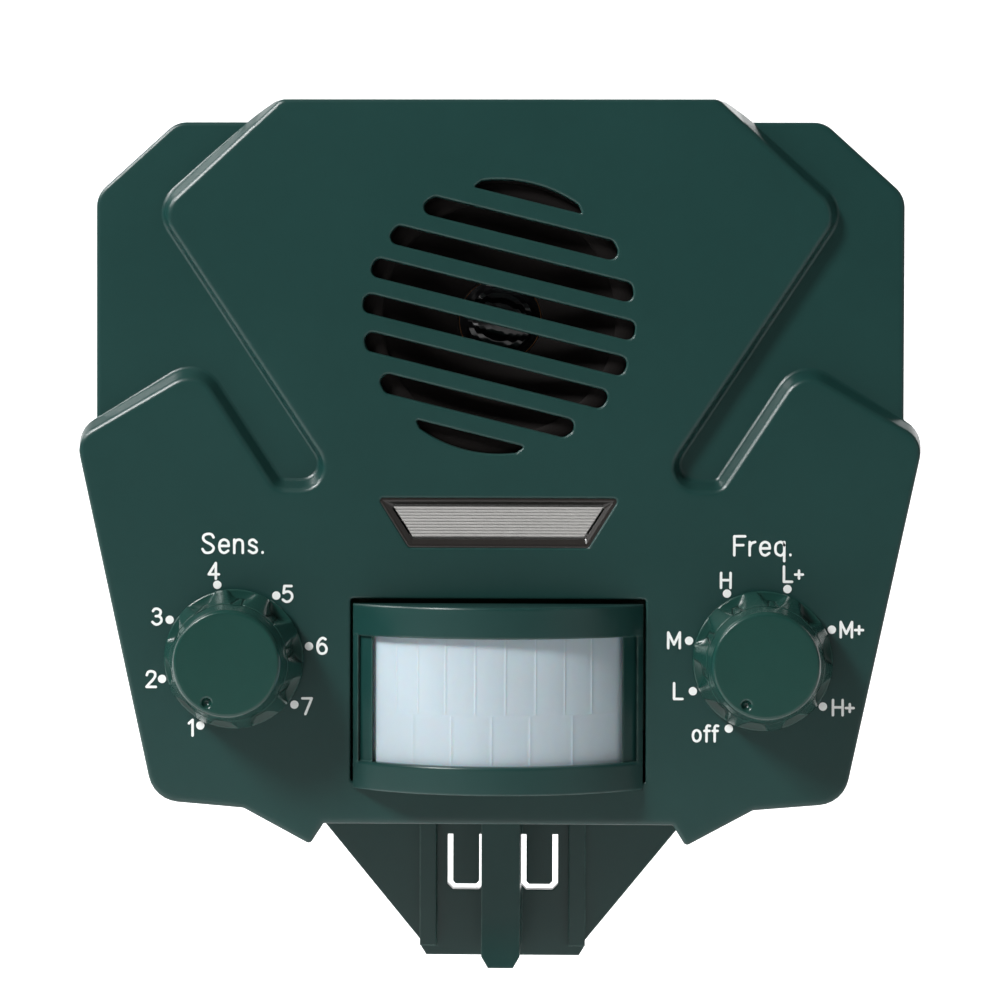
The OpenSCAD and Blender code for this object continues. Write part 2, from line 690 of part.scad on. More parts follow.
module sensitivity_control() { control(-knob_x, "#3d4a57"); }
module frequency_switch() { control(knob_x, "#4a4032"); }
module sensitivity_seal() { shaft_seal(-knob_x); }
module frequency_seal() { shaft_seal(knob_x); }

// --- main board and what stands on it ---

board_post_at = [[31.5, 87.6], [33, 50]];
board_post_r = 2.8;
board_pilot_r = 1;
board_half_w = 60;
board_low_z = 46.5;
board_high_z = 92;
module main_board() {
    color("#1d5c3a") difference() {
        slab(board_y, board_back_y) polygon(rounded([[-board_half_w, board_low_z, 2],
            [board_half_w, board_low_z, 2], [board_half_w, board_high_z, 2],
            [-board_half_w, board_high_z, 2]]));
        both() for (p = board_post_at) rod(p[0], p[1], board_y - 1, board_back_y + 1, 1.4);
    }
}
module board_screws() {
    color("silver") both() for (p = board_post_at) {
        rod(p[0], p[1], board_y - 6, board_back_y + EPS, 0.95);
        rod(p[0], p[1], board_back_y, board_back_y + 1.6, 2.4);
    }
}
cap_at = [[-44, 58, 3.9, 6.6], [-34, 62, 3.1, 6], [-25, 56, 3.1, 6], [12, 56, 3.9, 6.6]];
module capacitors() {
    color("#23262e") for (c = cap_at)
        turned(c[0], c[1], board_back_y, [[0, 0], [c[2], 0], [c[2], 1], [c[2] - 0.25, 1.3],
            [c[2], 1.6], [c[2], c[3] - 0.3], [c[2] - 0.3, c[3]], [0, c[3]]]);
}
module step_up_coil() {
    color("#8a4b22") turned(26, 66, board_back_y, [[0, 0], [6, 0], [6, 1], [4.8, 1.3], [4.8, 5],
        [6, 5.3], [6, 6.3], [0, 6.3]]);
}
chip_at = [[-12, 68, 5, 2], [4, 72, 2.5, 2], [44, 60, 3.2, 2.2], [-40, 76, 2.5, 2]];
module control_chips() {
    color("#202124") for (c = chip_at) {
        block([c[0] - c[2], board_back_y + 0.15, c[1] - c[3]], [c[0] + c[2], board_back_y + 1.7, c[1] + c[3]]);
        for (x = [-c[2] + 0.7:1.27:c[2] - 0.6], s = [-1, 1])
            block([c[0] + x - 0.2, board_back_y, c[1] + min(s * c[3], s * (c[3] + 1))],
                [c[0] + x + 0.2, board_back_y + 0.5, c[1] + max(s * c[3], s * (c[3] + 1))]);
    }
}
socket_x = [-2.2, 45.2, -45.2];
socket_half_w = 3;
socket_low_z = 85.5;
socket_high_z = 90;
module wire_sockets() {
    color("ivory") for (x = socket_x)
        block([x - socket_half_w, board_back_y, socket_low_z],
            [x + socket_half_w, board_back_y + 4.2, socket_high_z]);
}

// --- battery bay ---

tray_in_y = tray_front_y + tray_wall;
module battery_tray() {
    color("#2a2d2c") difference() {
        block([-bay_half_x - tray_wall, tray_front_y, bay_z - bay_half_z - tray_wall],
            [bay_half_x + tray_wall, 0, bay_z + bay_half_z + tray_wall]);
        for (s = [-1, 1]) block([min(s * divider_half, s * bay_half_x), tray_in_y, bay_z - bay_half_z],
            [max(s * divider_half, s * bay_half_x), 1, bay_z + bay_half_z]);
    }
}
// Each cell lies along X. Ends are mirrored row by row, so the four are in series
module cell(side, row) {
    nub_out = row > 0;
    x0 = nub_out ? bay_half_x - contact_t - cell_len : divider_half + contact_t + nub_len;
    color("#4b5257") mirror([side < 0 ? 1 : 0, 0, 0])
        translate([0, cell_y, bay_z + row * row_half]) rotate([0, 90, 0]) {
            translate([0, 0, x0]) cylinder(h = cell_len - nub_len, r = cell_r);
            translate([0, 0, nub_out ? x0 + cell_len - nub_len - EPS : x0 - nub_len])
                cylinder(h = nub_len + EPS, r = nub_r);
        }
}
module battery_cell_1() { cell(-1, -1); }
module battery_cell_2() { cell(1, -1); }
module battery_cell_3() { cell(-1, 1); }
module battery_cell_4() { cell(1, 1); }
spring_len = bay_half_x - divider_half - 2 * contact_t - cell_len;
function spring_path(x0, z0) =
    [for (k = [0:30]) let (t = k / 30, r = 6 - 2.4 * t, a = 360 * 3 * t)
        [x0 - 0.35 - (spring_len - 0.8) * t, cell_y + r * cos(a), z0 + r * sin(a)]];
module contact_springs() {
    color("silver") both() {
        wire(spring_path(bay_half_x - contact_t, bay_z - row_half), 0.3, 6, [1, 0, 0]);
        wire(spring_path(divider_half + contact_t + spring_len, bay_z + row_half), 0.3, 6, [1, 0, 0]);
    }
}
module contact_plates() {
    color("silver") both() for (row = [-1, 1]) {
        z = bay_z + row * row_half;
        for (x = [divider_half, bay_half_x - contact_t])
            block([x, tray_in_y, z - 7], [x + contact_t, cell_y + 7, z + 7]);
    }
}
battery_route = [[-51, -14.7, 97.5], [-51, -15.7, 97.5], [-50.4, -17.4, 97], [-47.4, -19.8, 94.6],
    [-46.4, -20.3, 91.6], [-46.4, -20.3, 90.1]];
module battery_wires() {
    color("black") for (i = [0, 1])
        wire(smooth([for (p = battery_route) p + [i * wire_gap, 0, 0]], 3), wire_r, 8, [1, 0, 0]);
}
module door_ear() {
    translate([lug_near + lug_w + ear_gap, 0, 0]) {
        block([0, hinge_y - hinge_r, hinge_z], [ear_w, hinge_y + hinge_r, bay_z - door_half_z + 1]);
        translate([0, hinge_y, hinge_z]) rotate([0, 90, 0]) cylinder(h = ear_w, r = hinge_r);
    }
}
door_outline = [[-door_half_x, bay_z - door_half_z, 5], [door_half_x, bay_z - door_half_z, 5],
    [door_half_x, bay_z + door_half_z, 5], [-door_half_x, bay_z + door_half_z, 5]];
door_chamfer = 2.5;
module battery_door() {
    color(GREEN) difference() {
        union() {
            slab(door_front_y, door_back_y - door_chamfer) polygon(rounded(door_outline));
            loft(rounded(door_outline), rounded(door_outline, -door_chamfer),
                door_back_y - door_chamfer - EPS, door_back_y);
            block([-latch_tab_half, door_front_y, bay_z + door_half_z - 1],
                [latch_tab_half, door_front_y + latch_tab_t, latch_z + 6]);
            both() door_ear();
        }
        slab(door_front_y - 1, door_back_y - door_wall) polygon(rounded(door_outline, -door_wall - 0.6));
        rod(0, latch_z, door_front_y - 1, door_front_y + latch_tab_t + 1, latch_screw_r + 0.08);
        both() translate([lug_near, hinge_y, hinge_z]) rotate([0, 90, 0])
            cylinder(h = lug_far + lug_w - lug_near, r = hinge_run_r);
    }
}
module door_seal() {
    color(BLACK) slab(back_y, back_y + door_seal_t) difference() {
        polygon(rounded(door_outline, -0.4));
        polygon(rounded(door_outline, -2.2));
    }
}
module door_hinge_pins() {
    color("silver") both() translate([lug_near, hinge_y, hinge_z]) rotate([0, 90, 0])
        cylinder(h = lug_far + lug_w - lug_near, r = hinge_pin_r);
}
latch_head_y = door_front_y + latch_tab_t + 0.1;
insert_r = 2.6;
module door_screw() {
    color("silver") difference() {
        union() {
            rod(0, latch_z, latch_head_y, latch_head_y + 3, latch_head_r);
            rod(0, latch_z, latch_tip_y, latch_head_y + EPS, latch_screw_r);
        }
        block([-latch_head_r - 1, latch_head_y + 1.6, latch_z - 0.7],
            [latch_head_r + 1, latch_head_y + 4, latch_z + 0.7]);
    }
}
module door_insert() {
    color("gold") difference() {
        rod(0, latch_z, -5, back_y - 0.3, insert_r);
        rod(0, latch_z, -4.5, back_y, latch_screw_r + 0.3);
    }
}

// --- power inlet ---

inlet_barrel_r = 4.5;
inlet_len = 11;
module power_inlet() {
    color(BLACK) difference() {
        union() {
            rod(inlet_x, inlet_z, -inlet_len, back_y - 0.2, inlet_barrel_r);
            block([inlet_x - 5.5, -inlet_len, inlet_z - 5.5], [inlet_x + 5.5, 0, inlet_z + 5.5]);
        }
        rod(inlet_x, inlet_z, -inlet_len + 2, back_y, inlet_bore_r);
    }
}
module inlet_pin() {
    color("silver") rod(inlet_x, inlet_z, -inlet_len + 2, back_y - 1.2, inlet_pin_r);
}
module cover_lug() {
    translate([-1.2, 0, 0]) difference() {
        union() {
            block([0, back_y - EPS, cover_hinge_z - 2], [2.4, cover_hinge_y, cover_hinge_z + 2]);
            translate([0, cover_hinge_y, cover_hinge_z]) rotate([0, 90, 0]) cylinder(h = 2.4, r = 2);
        }
        translate([-1, cover_hinge_y, cover_hinge_z]) rotate([0, 90, 0])
            cylinder(h = 4.4, r = cover_pin_r);
    }
}
module inlet_cover() {
    color(BLACK) difference() {
        union() {
            block([inlet_x - cover_half, cover_y, inlet_z - cover_half],
                [inlet_x + cover_half, cover_y + cover_t, inlet_z + cover_half]);
            block([inlet_x - 3.4, cover_y, inlet_z], [inlet_x + 3.4, cover_y + cover_t, cover_hinge_z]);
            translate([inlet_x - 3.4, cover_hinge_y, cover_hinge_z]) rotate([0, 90, 0])
                cylinder(h = 6.8, r = 1.9);
            translate([inlet_x - 6.4, cover_hinge_y, cover_hinge_z]) rotate([0, 90, 0])
                cylinder(h = 12.8, r = cover_pin_r - cover_pin_gap);
            rod(inlet_x, inlet_z, back_y - 0.9, cover_y + EPS, inlet_bore_r - 0.6);
        }
    }
}
inlet_route = [[48.8, -11.3, 117], [48.8, -12.5, 117], [48.6, -14, 113], [47.4, -17.4, 104],
    [45.2, -19.8, 95.6], [44, -20.3, 91.6], [44, -20.3, 90.1]];
module inlet_wires() {
    color("black") for (i = [0, 1])
        wire(smooth([for (p = inlet_route) p + [i * wire_gap, 0, 0]], 3), wire_r, 8, [1, 0, 0]);
}

front_shell();
rear_shell();
case_seal();
case_screws();
speaker_frame();
speaker_surround();
speaker_cone();
speaker_dust_cap();
voice_coil();
speaker_magnet();
speaker_yoke();
speaker_screws();
speaker_wires();
strobe_bezel();
strobe_lens();
strobe_reflector();
strobe_board();
strobe_lamps();
strobe_pins();
sensor_housing();
sensor_lens();
sensor_board();
sensor_can();
sensor_pins();
sensitivity_knob();
sensitivity_shaft();
sensitivity_control();
sensitivity_seal();
frequency_knob();
frequency_shaft();
frequency_switch();
frequency_seal();
main_board();
board_screws();
capacitors();
step_up_coil();
control_chips();
wire_sockets();
battery_tray();
battery_cell_1();
battery_cell_2();
battery_cell_3();
battery_cell_4();
contact_springs();
contact_plates();
battery_wires();
battery_door();
door_seal();
door_hinge_pins();
door_screw();
door_insert();
power_inlet();
inlet_pin();
inlet_cover();
inlet_wires();
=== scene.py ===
"""Looks of an ultrasonic pest repeller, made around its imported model.

Sizes in this file are millimetres unless a name says otherwise; meshes are written in metres.
"""

import json
import logging
import math
from dataclasses import dataclass
from enum import Enum
from typing import Optional, Sequence

import bmesh
import bpy
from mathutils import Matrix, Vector
from mathutils.geometry import delaunay_2d_cdt


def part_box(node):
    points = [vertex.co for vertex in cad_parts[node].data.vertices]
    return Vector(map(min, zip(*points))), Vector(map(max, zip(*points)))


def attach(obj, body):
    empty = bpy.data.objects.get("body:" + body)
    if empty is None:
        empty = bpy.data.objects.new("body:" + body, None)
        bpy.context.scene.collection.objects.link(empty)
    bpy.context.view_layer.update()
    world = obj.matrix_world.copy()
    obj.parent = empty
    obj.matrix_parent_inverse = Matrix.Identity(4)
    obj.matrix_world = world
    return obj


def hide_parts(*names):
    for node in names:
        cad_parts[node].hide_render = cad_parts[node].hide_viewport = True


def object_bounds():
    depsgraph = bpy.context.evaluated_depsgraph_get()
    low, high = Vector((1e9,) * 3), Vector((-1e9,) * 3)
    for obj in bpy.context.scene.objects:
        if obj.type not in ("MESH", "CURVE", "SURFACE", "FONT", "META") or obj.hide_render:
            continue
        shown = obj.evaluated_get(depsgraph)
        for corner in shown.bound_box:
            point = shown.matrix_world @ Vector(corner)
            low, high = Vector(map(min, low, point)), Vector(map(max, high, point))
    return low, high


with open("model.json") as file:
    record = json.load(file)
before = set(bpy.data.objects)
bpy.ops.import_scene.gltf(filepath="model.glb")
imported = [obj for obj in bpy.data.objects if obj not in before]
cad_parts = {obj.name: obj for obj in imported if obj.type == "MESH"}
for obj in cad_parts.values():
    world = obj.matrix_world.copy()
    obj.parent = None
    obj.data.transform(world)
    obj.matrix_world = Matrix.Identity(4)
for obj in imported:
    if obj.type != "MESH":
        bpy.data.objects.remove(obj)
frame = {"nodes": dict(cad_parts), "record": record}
CAD_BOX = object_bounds()

LOG = logging.getLogger("repeller")
MM = 0.001
FRONT = Vector((0, -1, 0))
STEPS = 6
ROUNDING_STEPS = 4
SHARPEST = 0.05
WELD_CELLS = 5000
APART = 2e-4
CDT_INSIDE = 1
CDT_NEAR = 1e-6
NO_LENGTH = 1e-12

Flat = tuple[float, float]
Corner = tuple[float, float, float]
Row = list[Vector]
Socket = bpy.types.NodeSocket


class Body(Enum):
    """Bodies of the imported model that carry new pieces."""

    CASING = "casing"
    SENSITIVITY = "sensitivity_dial"
    FREQUENCY = "frequency_dial"
    DOOR = "door"
    COVER = "cover"


class Slot(Enum):
    """Material slots of the record."""

    CASING = "casing_green"
    KNOB = "knob_green"
    RUBBER = "rubber_black"
    STEEL = "steel"
    BLACK = "black_plastic"
    FILM = "speaker_film"
    COPPER = "copper_winding"
    FERRITE = "ferrite"
    LEAD = "lead_wire"
    CLEAR = "clear_lens"
    REFLECTOR = "reflector"
    BOARD = "circuit_board"
    IVORY = "ivory_plastic"
    BRASS = "brass_pin"
    WHITE_LENS = "white_lens"
    SENSOR_METAL = "sensor_metal"
    CONTROL = "control_body"
    CAPACITOR = "capacitor_sleeve"
    CHIP = "chip_black"
    CELL = "cell_sleeve"


def low(node: str) -> Vector:
    """Lowest corner of a CAD node in millimetres."""
    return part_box(node)[0] / MM


def high(node: str) -> Vector:
    """Highest corner of a CAD node in millimetres."""
    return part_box(node)[1] / MM


def centre(node: str) -> Vector:
    """Middle of a CAD node's box in millimetres."""
    return (low(node) + high(node)) / 2


# --- materials ---


class Graph:
    """A short way to lay out one node tree."""

    def __init__(self, tree: bpy.types.NodeTree) -> None:
        """Keeps the node tree that it fills."""
        self.tree = tree

    def node(self, kind: str, **inputs: object) -> bpy.types.Node:
        """Adds a node and sets or links its inputs.

        Args:
            kind: node type without its ShaderNode prefix, or a full type name.
            inputs: values or sockets, keyed by input name with _ for each space, or i and a number.

        Returns:
            The new node.
        """
        full = kind if kind.startswith("NodeGroup") else "ShaderNode" + kind
        made = self.tree.nodes.new(full)
        for key, value in inputs.items():
            self.put(made, key, value)
        return made

    def put(self, node: bpy.types.Node, key: str, value: object) -> None:
        """Sets or links one input.

        Args:
            node: the node that has the input.
            key: its name with _ for each space, or i and a number.
            value: a plain value or an output socket.
        """
        if key[0] == "i" and key[1:].isdigit():
            socket = node.inputs[int(key[1:])]
        else:
            socket = node.inputs[key.replace("_", " ")]
        if isinstance(value, Socket):
            self.tree.links.new(value, socket)
        else:
            socket.default_value = value

    def math(self, what: str, *terms: object) -> Socket:
        """Adds a Math node.

        Args:
            what: the operation.
            terms: numbers or sockets.

        Returns:
            Its output.
        """
        made = self.node("Math", **{f"i{k}": term for k, term in enumerate(terms)})
        made.operation = what
        return made.outputs[0]

    def noise(self, vector: object, scale: object, detail: float = 3.0) -> Socket:
        """Adds a noise texture.

        Args:
            vector: where it is read.
            scale: features per metre.
            detail: number of octaves.

        Returns:
            Its value, about 0.5 on average.
        """
        return self.node("TexNoise", Vector=vector, Scale=scale, Detail=detail).outputs[0]

    def span(self, value: object, start: float, end: float, first: object, last: object) -> Socket:
        """Maps a value from one range to another, clamped.

        Args:
            value: what is mapped.
            start: where the first result holds.
            end: where the last result holds.
            first: result at start.
            last: result at end.

        Returns:
            The mapped value.
        """
        return self.node("MapRange", i0=value, i1=start, i2=end, i3=first, i4=last).outputs[0]

    def mix(self, share: object, one: object, other: object) -> Socket:
        """Mixes two colours.

        Args:
            share: how much of the other colour shows.
            one: first colour.
            other: second colour.

        Returns:
            The mixed colour.
        """
        made = self.tree.nodes.new("ShaderNodeMix")
        made.data_type = "RGBA"
        for index, value in ((0, share), (6, one), (7, other)):
            self.put(made, f"i{index}", value)
        return made.outputs[2]


BROAD_SCALE, FINE_SCALE = 34.0, 420.0
BROAD_SHARE, FINE_SHARE = 0.65, 0.35
EDGE_SAMPLES = 4
EDGE_SPAN, UP_SPAN = (0.99, 0.8, 0.0, 1.0), (0.2, 1.0, 0.0, 1.0)
# The first span breaks up the lightened edges, which are partly rubbing and partly a painted highlight; the
# second breaks up the dust.
RUB_AND_HIGHLIGHT_SPAN, DUST_SPAN = (0.35, 0.6, 0.3, 1.0), (0.4, 0.7, 0.2, 1.0)
DUST_COLOUR = (0.42, 0.4, 0.36, 1.0)
DUST_ROUGHNESS = 0.4
SPREAD_SHARE = 0.16
BUMP_STRENGTH = 0.6
COAT_ROUGHNESS = 0.12
MILK_DEPTH = 0.001


def group_tree(name: str, inputs: dict[str, tuple[str, object]], outputs: dict[str, str]) -> tuple:
    """Makes an empty shader node group.

    Args:
        name: its name.
        inputs: socket name to kind and default.
        outputs: socket name to kind.

    Returns:
        The tree, its Graph, its input node and its output node.
    """
    tree = bpy.data.node_groups.new(name, "ShaderNodeTree")
    for key, (kind, default) in inputs.items():
        socket = tree.interface.new_socket(key, in_out="INPUT", socket_type="NodeSocket" + kind)
        socket.default_value = default
    for key, kind in outputs.items():
        tree.interface.new_socket(key, in_out="OUTPUT", socket_type="NodeSocket" + kind)
    graph = Graph(tree)
    return tree, graph, graph.node("NodeGroupInput"), graph.node("NodeGroupOutput")


def surface_group() -> bpy.types.NodeTree:
    """Makes the group for moulded, painted and plated surfaces: mottling, grain, dust, and edges lightened by
    rubbing and as a painted highlight.

    Returns:
        The group's tree.
    """
    grey = (0.5, 0.5, 0.5, 1.0)
    tree, g, inside, outside = group_tree(
        "wear_and_edge_highlight_surface",
        {
            "Colour": ("Color", grey),
            "Edge Colour": ("Color", grey),
            "Grain Scale": ("Float", 4000.0),
            "Mottle": ("Float", 0.1),
            "Edge Wear": ("Float", 0.2),
            "Edge Radius": ("Float", 0.0003),
            "Dust": ("Float", 0.1),
            "Roughness": ("Float", 0.4),
            "Spread": ("Float", 0.08),
        },
        {"Colour": "Color", "Roughness": "Float", "Height": "Float", "Normal": "Vector"},
    )
    here = g.node("TexCoord").outputs["Object"]
    port = inside.outputs
    broad = g.noise(here, BROAD_SCALE, 4.0)
    fine = g.noise(here, FINE_SCALE, 3.0)
    grain = g.noise(here, port["Grain Scale"], 2.0)
    tone = g.math("ADD", g.math("MULTIPLY", broad, BROAD_SHARE), g.math("MULTIPLY", fine, FINE_SHARE))
    swing = g.math("MULTIPLY", g.math("SUBTRACT", tone, 0.5), g.math("MULTIPLY", port["Mottle"], 2.0))
    lit = g.node("HueSaturation", Value=g.math("ADD", 1.0, swing), Color=port["Colour"]).outputs[0]
    bevel = g.node("Bevel", Radius=port["Edge Radius"])
    bevel.samples = EDGE_SAMPLES
    true = g.node("NewGeometry").outputs["Normal"]
    aligned = g.node("VectorMath", i0=bevel.outputs[0], i1=true)
    aligned.operation = "DOT_PRODUCT"
    edge = g.span(aligned.outputs["Value"], *EDGE_SPAN)
    # Edges are lightened towards the edge colour: partly rubbed wear, partly a painted highlight standing in
    # for the light lines lamps draw along edges.
    worn_and_highlit_edge = g.math("MULTIPLY", edge, g.math("MULTIPLY", port["Edge Wear"], g.span(fine, *RUB_AND_HIGHLIGHT_SPAN)))
    edged = g.mix(worn_and_highlit_edge, lit, port["Edge Colour"])
    up = g.node("SeparateXYZ", Vector=true).outputs[2]
    settled = g.math("MULTIPLY", g.span(up, *UP_SPAN), g.span(broad, *DUST_SPAN))
    dusty = g.math("MULTIPLY", settled, port["Dust"])
    g.put(outside, "Colour", g.mix(dusty, edged, DUST_COLOUR))
    wander = g.math("MULTIPLY", g.math("SUBTRACT", tone, 0.5), port["Spread"])
    rough = g.math("ADD", port["Roughness"], wander)
    g.put(outside, "Roughness", g.math("ADD", rough, g.math("MULTIPLY", dusty, DUST_ROUGHNESS)))
    g.put(outside, "Height", grain)
    g.put(outside, "Normal", bevel.outputs[0])
    return tree


SURFACE = surface_group()


@dataclass(frozen=True)
class Finish:
    """One surface finish.

    Attributes:
        name: name of the material.
        colour: linear base colour.
        roughness: mean roughness.
        metallic: 1 for bare metal.
        grain: grain features per metre.
        relief: height of the grain in metres.
        mottle: how much the colour wanders.
        edge: colour that edges are lightened to, by rubbing and as a painted highlight.
        wear: how far edges are lightened to it, partly as rubbing and partly as a painted highlight.
        radius: how far an edge is softened, in metres.
        dust: how much dust lies on surfaces that face up.
        coat: weight of a clear coat.
        see_through: transmission weight.
        milk: subsurface weight.
        shine: strength of plain reflections.
    """

    name: str
    colour: tuple[float, float, float]
    roughness: float = 0.4
    metallic: float = 0.0
    grain: float = 5000.0
    relief: float = 0.000004
    mottle: float = 0.12
    edge: tuple[float, float, float] = (0.3, 0.3, 0.3)
    wear: float = 0.1
    radius: float = 0.00025
    dust: float = 0.03
    coat: float = 0.0
    see_through: float = 0.0
    milk: float = 0.0
    shine: float = 0.5

    def material(self) -> bpy.types.Material:
        """Builds the material once and returns it."""
        known = bpy.data.materials.get(self.name)
        if known:
            return known
        made = bpy.data.materials.new(self.name)
        made.use_nodes = True
        made.node_tree.nodes.clear()
        g = Graph(made.node_tree)
        surface = g.node("Group")
        surface.node_tree = SURFACE
        values = {
            "Colour": (*self.colour, 1.0),
            "Edge_Colour": (*self.edge, 1.0),
            "Grain_Scale": self.grain,
            "Mottle": self.mottle,
            "Edge_Wear": self.wear,
            "Edge_Radius": self.radius,
            "Dust": self.dust,
            "Roughness": self.roughness,
            "Spread": SPREAD_SHARE * self.roughness,
        }
        for key, value in values.items():
            g.put(surface, key, value)
        bump = g.node("Bump", Distance=self.relief, Strength=BUMP_STRENGTH, Height=surface.outputs["Height"],
                      Normal=surface.outputs["Normal"])
        shader = g.node("BsdfPrincipled", Base_Color=surface.outputs["Colour"], Metallic=self.metallic,
                        Roughness=surface.outputs["Roughness"], Normal=bump.outputs[0],
                        Coat_Weight=self.coat, Coat_Roughness=COAT_ROUGHNESS,
                        Transmission_Weight=self.see_through, Subsurface_Weight=self.milk,
                        Subsurface_Scale=MILK_DEPTH, Specular_IOR_Level=self.shine)
        g.node("OutputMaterial", Surface=shader.outputs[0])
        return made


GREEN = (0.0075, 0.0405, 0.0362)
# Pale green that the edges of the casing and the knobs are lightened to, mostly as a painted highlight with a
# little rubbing.
PALE_GREEN = (0.10, 0.21, 0.185)
FINISHES = {
    # The casing's edges are lightened strongly: a painted highlight line along every edge on top of a little
    # rubbing.
    Slot.CASING: Finish("moulded_green", GREEN, 0.29, edge=PALE_GREEN, wear=0.6, mottle=0.16, radius=0.00045),
    Slot.KNOB: Finish("glossy_green", (0.0075, 0.046, 0.037), 0.22, edge=PALE_GREEN, wear=0.3,
                      relief=0.000002),
    Slot.RUBBER: Finish("black_rubber", (0.018, 0.018, 0.018), 0.62, grain=9000.0, wear=0.15),
    Slot.STEEL: Finish("plated_steel", (0.58, 0.57, 0.55), 0.28, 1.0, edge=(0.8, 0.8, 0.8), dust=0.0),
    Slot.BLACK: Finish("moulded_black", (0.006, 0.0048, 0.0044), 0.5, shine=0.16, edge=(0.12, 0.12, 0.12),
                       wear=0.2),
    Slot.FILM: Finish("speaker_film", (0.004, 0.004, 0.0045), 0.36, relief=0.00001, grain=900.0, dust=0.0,
                      shine=0.15),
    Slot.COPPER: Finish("copper_winding", (0.16, 0.06, 0.025), 0.3, 1.0, grain=6000.0, relief=0.00004),
    Slot.FERRITE: Finish("ferrite", (0.035, 0.035, 0.038), 0.55, grain=3000.0),
    Slot.LEAD: Finish("insulated_lead", (0.16, 0.015, 0.014), 0.42),
    Slot.CLEAR: Finish("clear_ribbed", (0.5, 0.49, 0.475), 0.16, see_through=0.2, relief=0.0),
    Slot.REFLECTOR: Finish("bright_reflector", (0.78, 0.78, 0.76), 0.16, 1.0, dust=0.0),
    Slot.BOARD: Finish("solder_mask", (0.015, 0.11, 0.045), 0.32, coat=0.4, mottle=0.2),
    Slot.IVORY: Finish("ivory_plastic", (0.72, 0.68, 0.56), 0.4),
    Slot.BRASS: Finish("brass_pins", (0.72, 0.52, 0.22), 0.26, 1.0, dust=0.0),
    # The lens's ridges and edges are lightened near white: a painted highlight on top of the lens's own milky
    # tone.
    Slot.WHITE_LENS: Finish("milky_lens", (0.44, 0.52, 0.57), 0.3, milk=0.35, mottle=0.05, relief=0.0,
                            edge=(0.86, 0.9, 0.92), wear=0.5, radius=0.0002),
    Slot.SENSOR_METAL: Finish("nickel_can", (0.62, 0.6, 0.56), 0.25, 1.0, dust=0.0),
    Slot.CONTROL: Finish("control_body", (0.05, 0.07, 0.1), 0.4),
    Slot.CAPACITOR: Finish("shrunk_sleeve", (0.02, 0.022, 0.035), 0.25, coat=0.3),
    Slot.CHIP: Finish("chip_epoxy", (0.02, 0.02, 0.02), 0.5, grain=9000.0),
    Slot.CELL: Finish("cell_sleeve", (0.05, 0.07, 0.085), 0.28, coat=0.4, mottle=0.06),
}
GLOSS_FILM = Finish("gloss_film", (0.004, 0.004, 0.0045), 0.07, relief=0.0, dust=0.0)
CONE_PAPER = Finish("cone_paper", (0.007, 0.0055, 0.005), 0.75, relief=0.00003, grain=2500.0, shine=0.12)
OWN_FINISH = {"speaker_dust_cap": GLOSS_FILM, "speaker_cone": CONE_PAPER, "speaker_surround": CONE_PAPER}
PRINT = Finish("white_print", (0.86, 0.88, 0.86), 0.5, mottle=0.04, wear=0.0, radius=0.00001,
               relief=0.000002, dust=0.0)
# The bezel's edges are lightened to grey: partly rubbing and partly a painted highlight.
SMOKED = Finish("smoked_bezel", (0.02, 0.0175, 0.016), 0.2, edge=(0.2, 0.2, 0.19), wear=0.4)


# --- meshes ---


def outline(corners: Sequence[Corner], grow: float = 0.0, steps: int = STEPS) -> list[Flat]:
    """Points of a closed outline with rounded corners.

    Args:
        corners: x, z and radius of each corner, anticlockwise.
        grow: how far the outline is moved outwards.
        steps: segments round each corner.

    Returns:
        steps + 1 points for each corner.
    """
    made: list[Flat] = []
    for i, (x, z, radius) in enumerate(corners):
        before, after = corners[i - 1], corners[(i + 1) % len(corners)]
        u1 = Vector((x - before[0], z - before[1])).normalized()
        u2 = Vector((after[0] - x, after[1] - z)).normalized()
        n1, n2 = Vector((u1.y, -u1.x)), Vector((u2.y, -u2.x))
        across = (n1 + n2) / (1 + n1.dot(n2))
        turn = math.atan2(u1.x * u2.y - u1.y * u2.x, u1.dot(u2))
        side = 1.0 if turn >= 0 else -1.0
        r = max(SHARPEST, radius + side * grow)
        centre = Vector((x, z)) + (grow - side * r) * across
        start = math.atan2(n1.y, n1.x)
        for k in range(steps + 1):
            a = start + turn * k / steps
            made.append((centre.x + side * r * math.cos(a), centre.y + side * r * math.sin(a)))
    return made


def mirrored(half: Sequence[Corner]) -> list[Corner]:
    """Both sides of an outline from its right half."""
    return list(half) + [(-x, z, r) for x, z, r in reversed(half)]


def at_depth(flat: Sequence[Flat], y: float) -> Row:
    """Flat points placed at one depth."""
    return [Vector((x, y, z)) for x, z in flat]


def circle(x: float, z: float, radius: float, count: int = 48) -> list[Flat]:
    """Points of a circle."""
    return [(x + radius * math.cos(2 * math.pi * k / count), z + radius * math.sin(2 * math.pi * k / count))
            for k in range(count)]


def between(rows: Sequence[Row], shares: Sequence[float]) -> Row:
    """Each point a share of the way from the first row to the second."""
    return [p.lerp(q, s) for p, q, s in zip(rows[0], rows[1], shares)]


def towards(start: Vector, end: Vector, distance: float) -> Vector:
    """The point at a distance from start towards end, at most half way."""
    return start + (end - start).normalized() * min(distance, 0.5 * (end - start).length)


def bend(one: Vector, corner: Vector, other: Vector, share: float) -> Vector:
    """A point on the curve that starts at one, bends at the corner and ends at the other."""
    return one.lerp(corner, share).lerp(corner.lerp(other, share), share)


def contains(flat: Sequence[Flat], x: float, z: float) -> bool:
    """Whether a flat outline goes round a point."""
    inside = False
    for (x0, z0), (x1, z1) in zip(flat, (*flat[1:], flat[0])):
        if (z0 > z) != (z1 > z) and x < x0 + (x1 - x0) * (z - z0) / (z1 - z0):
            inside = not inside
    return inside


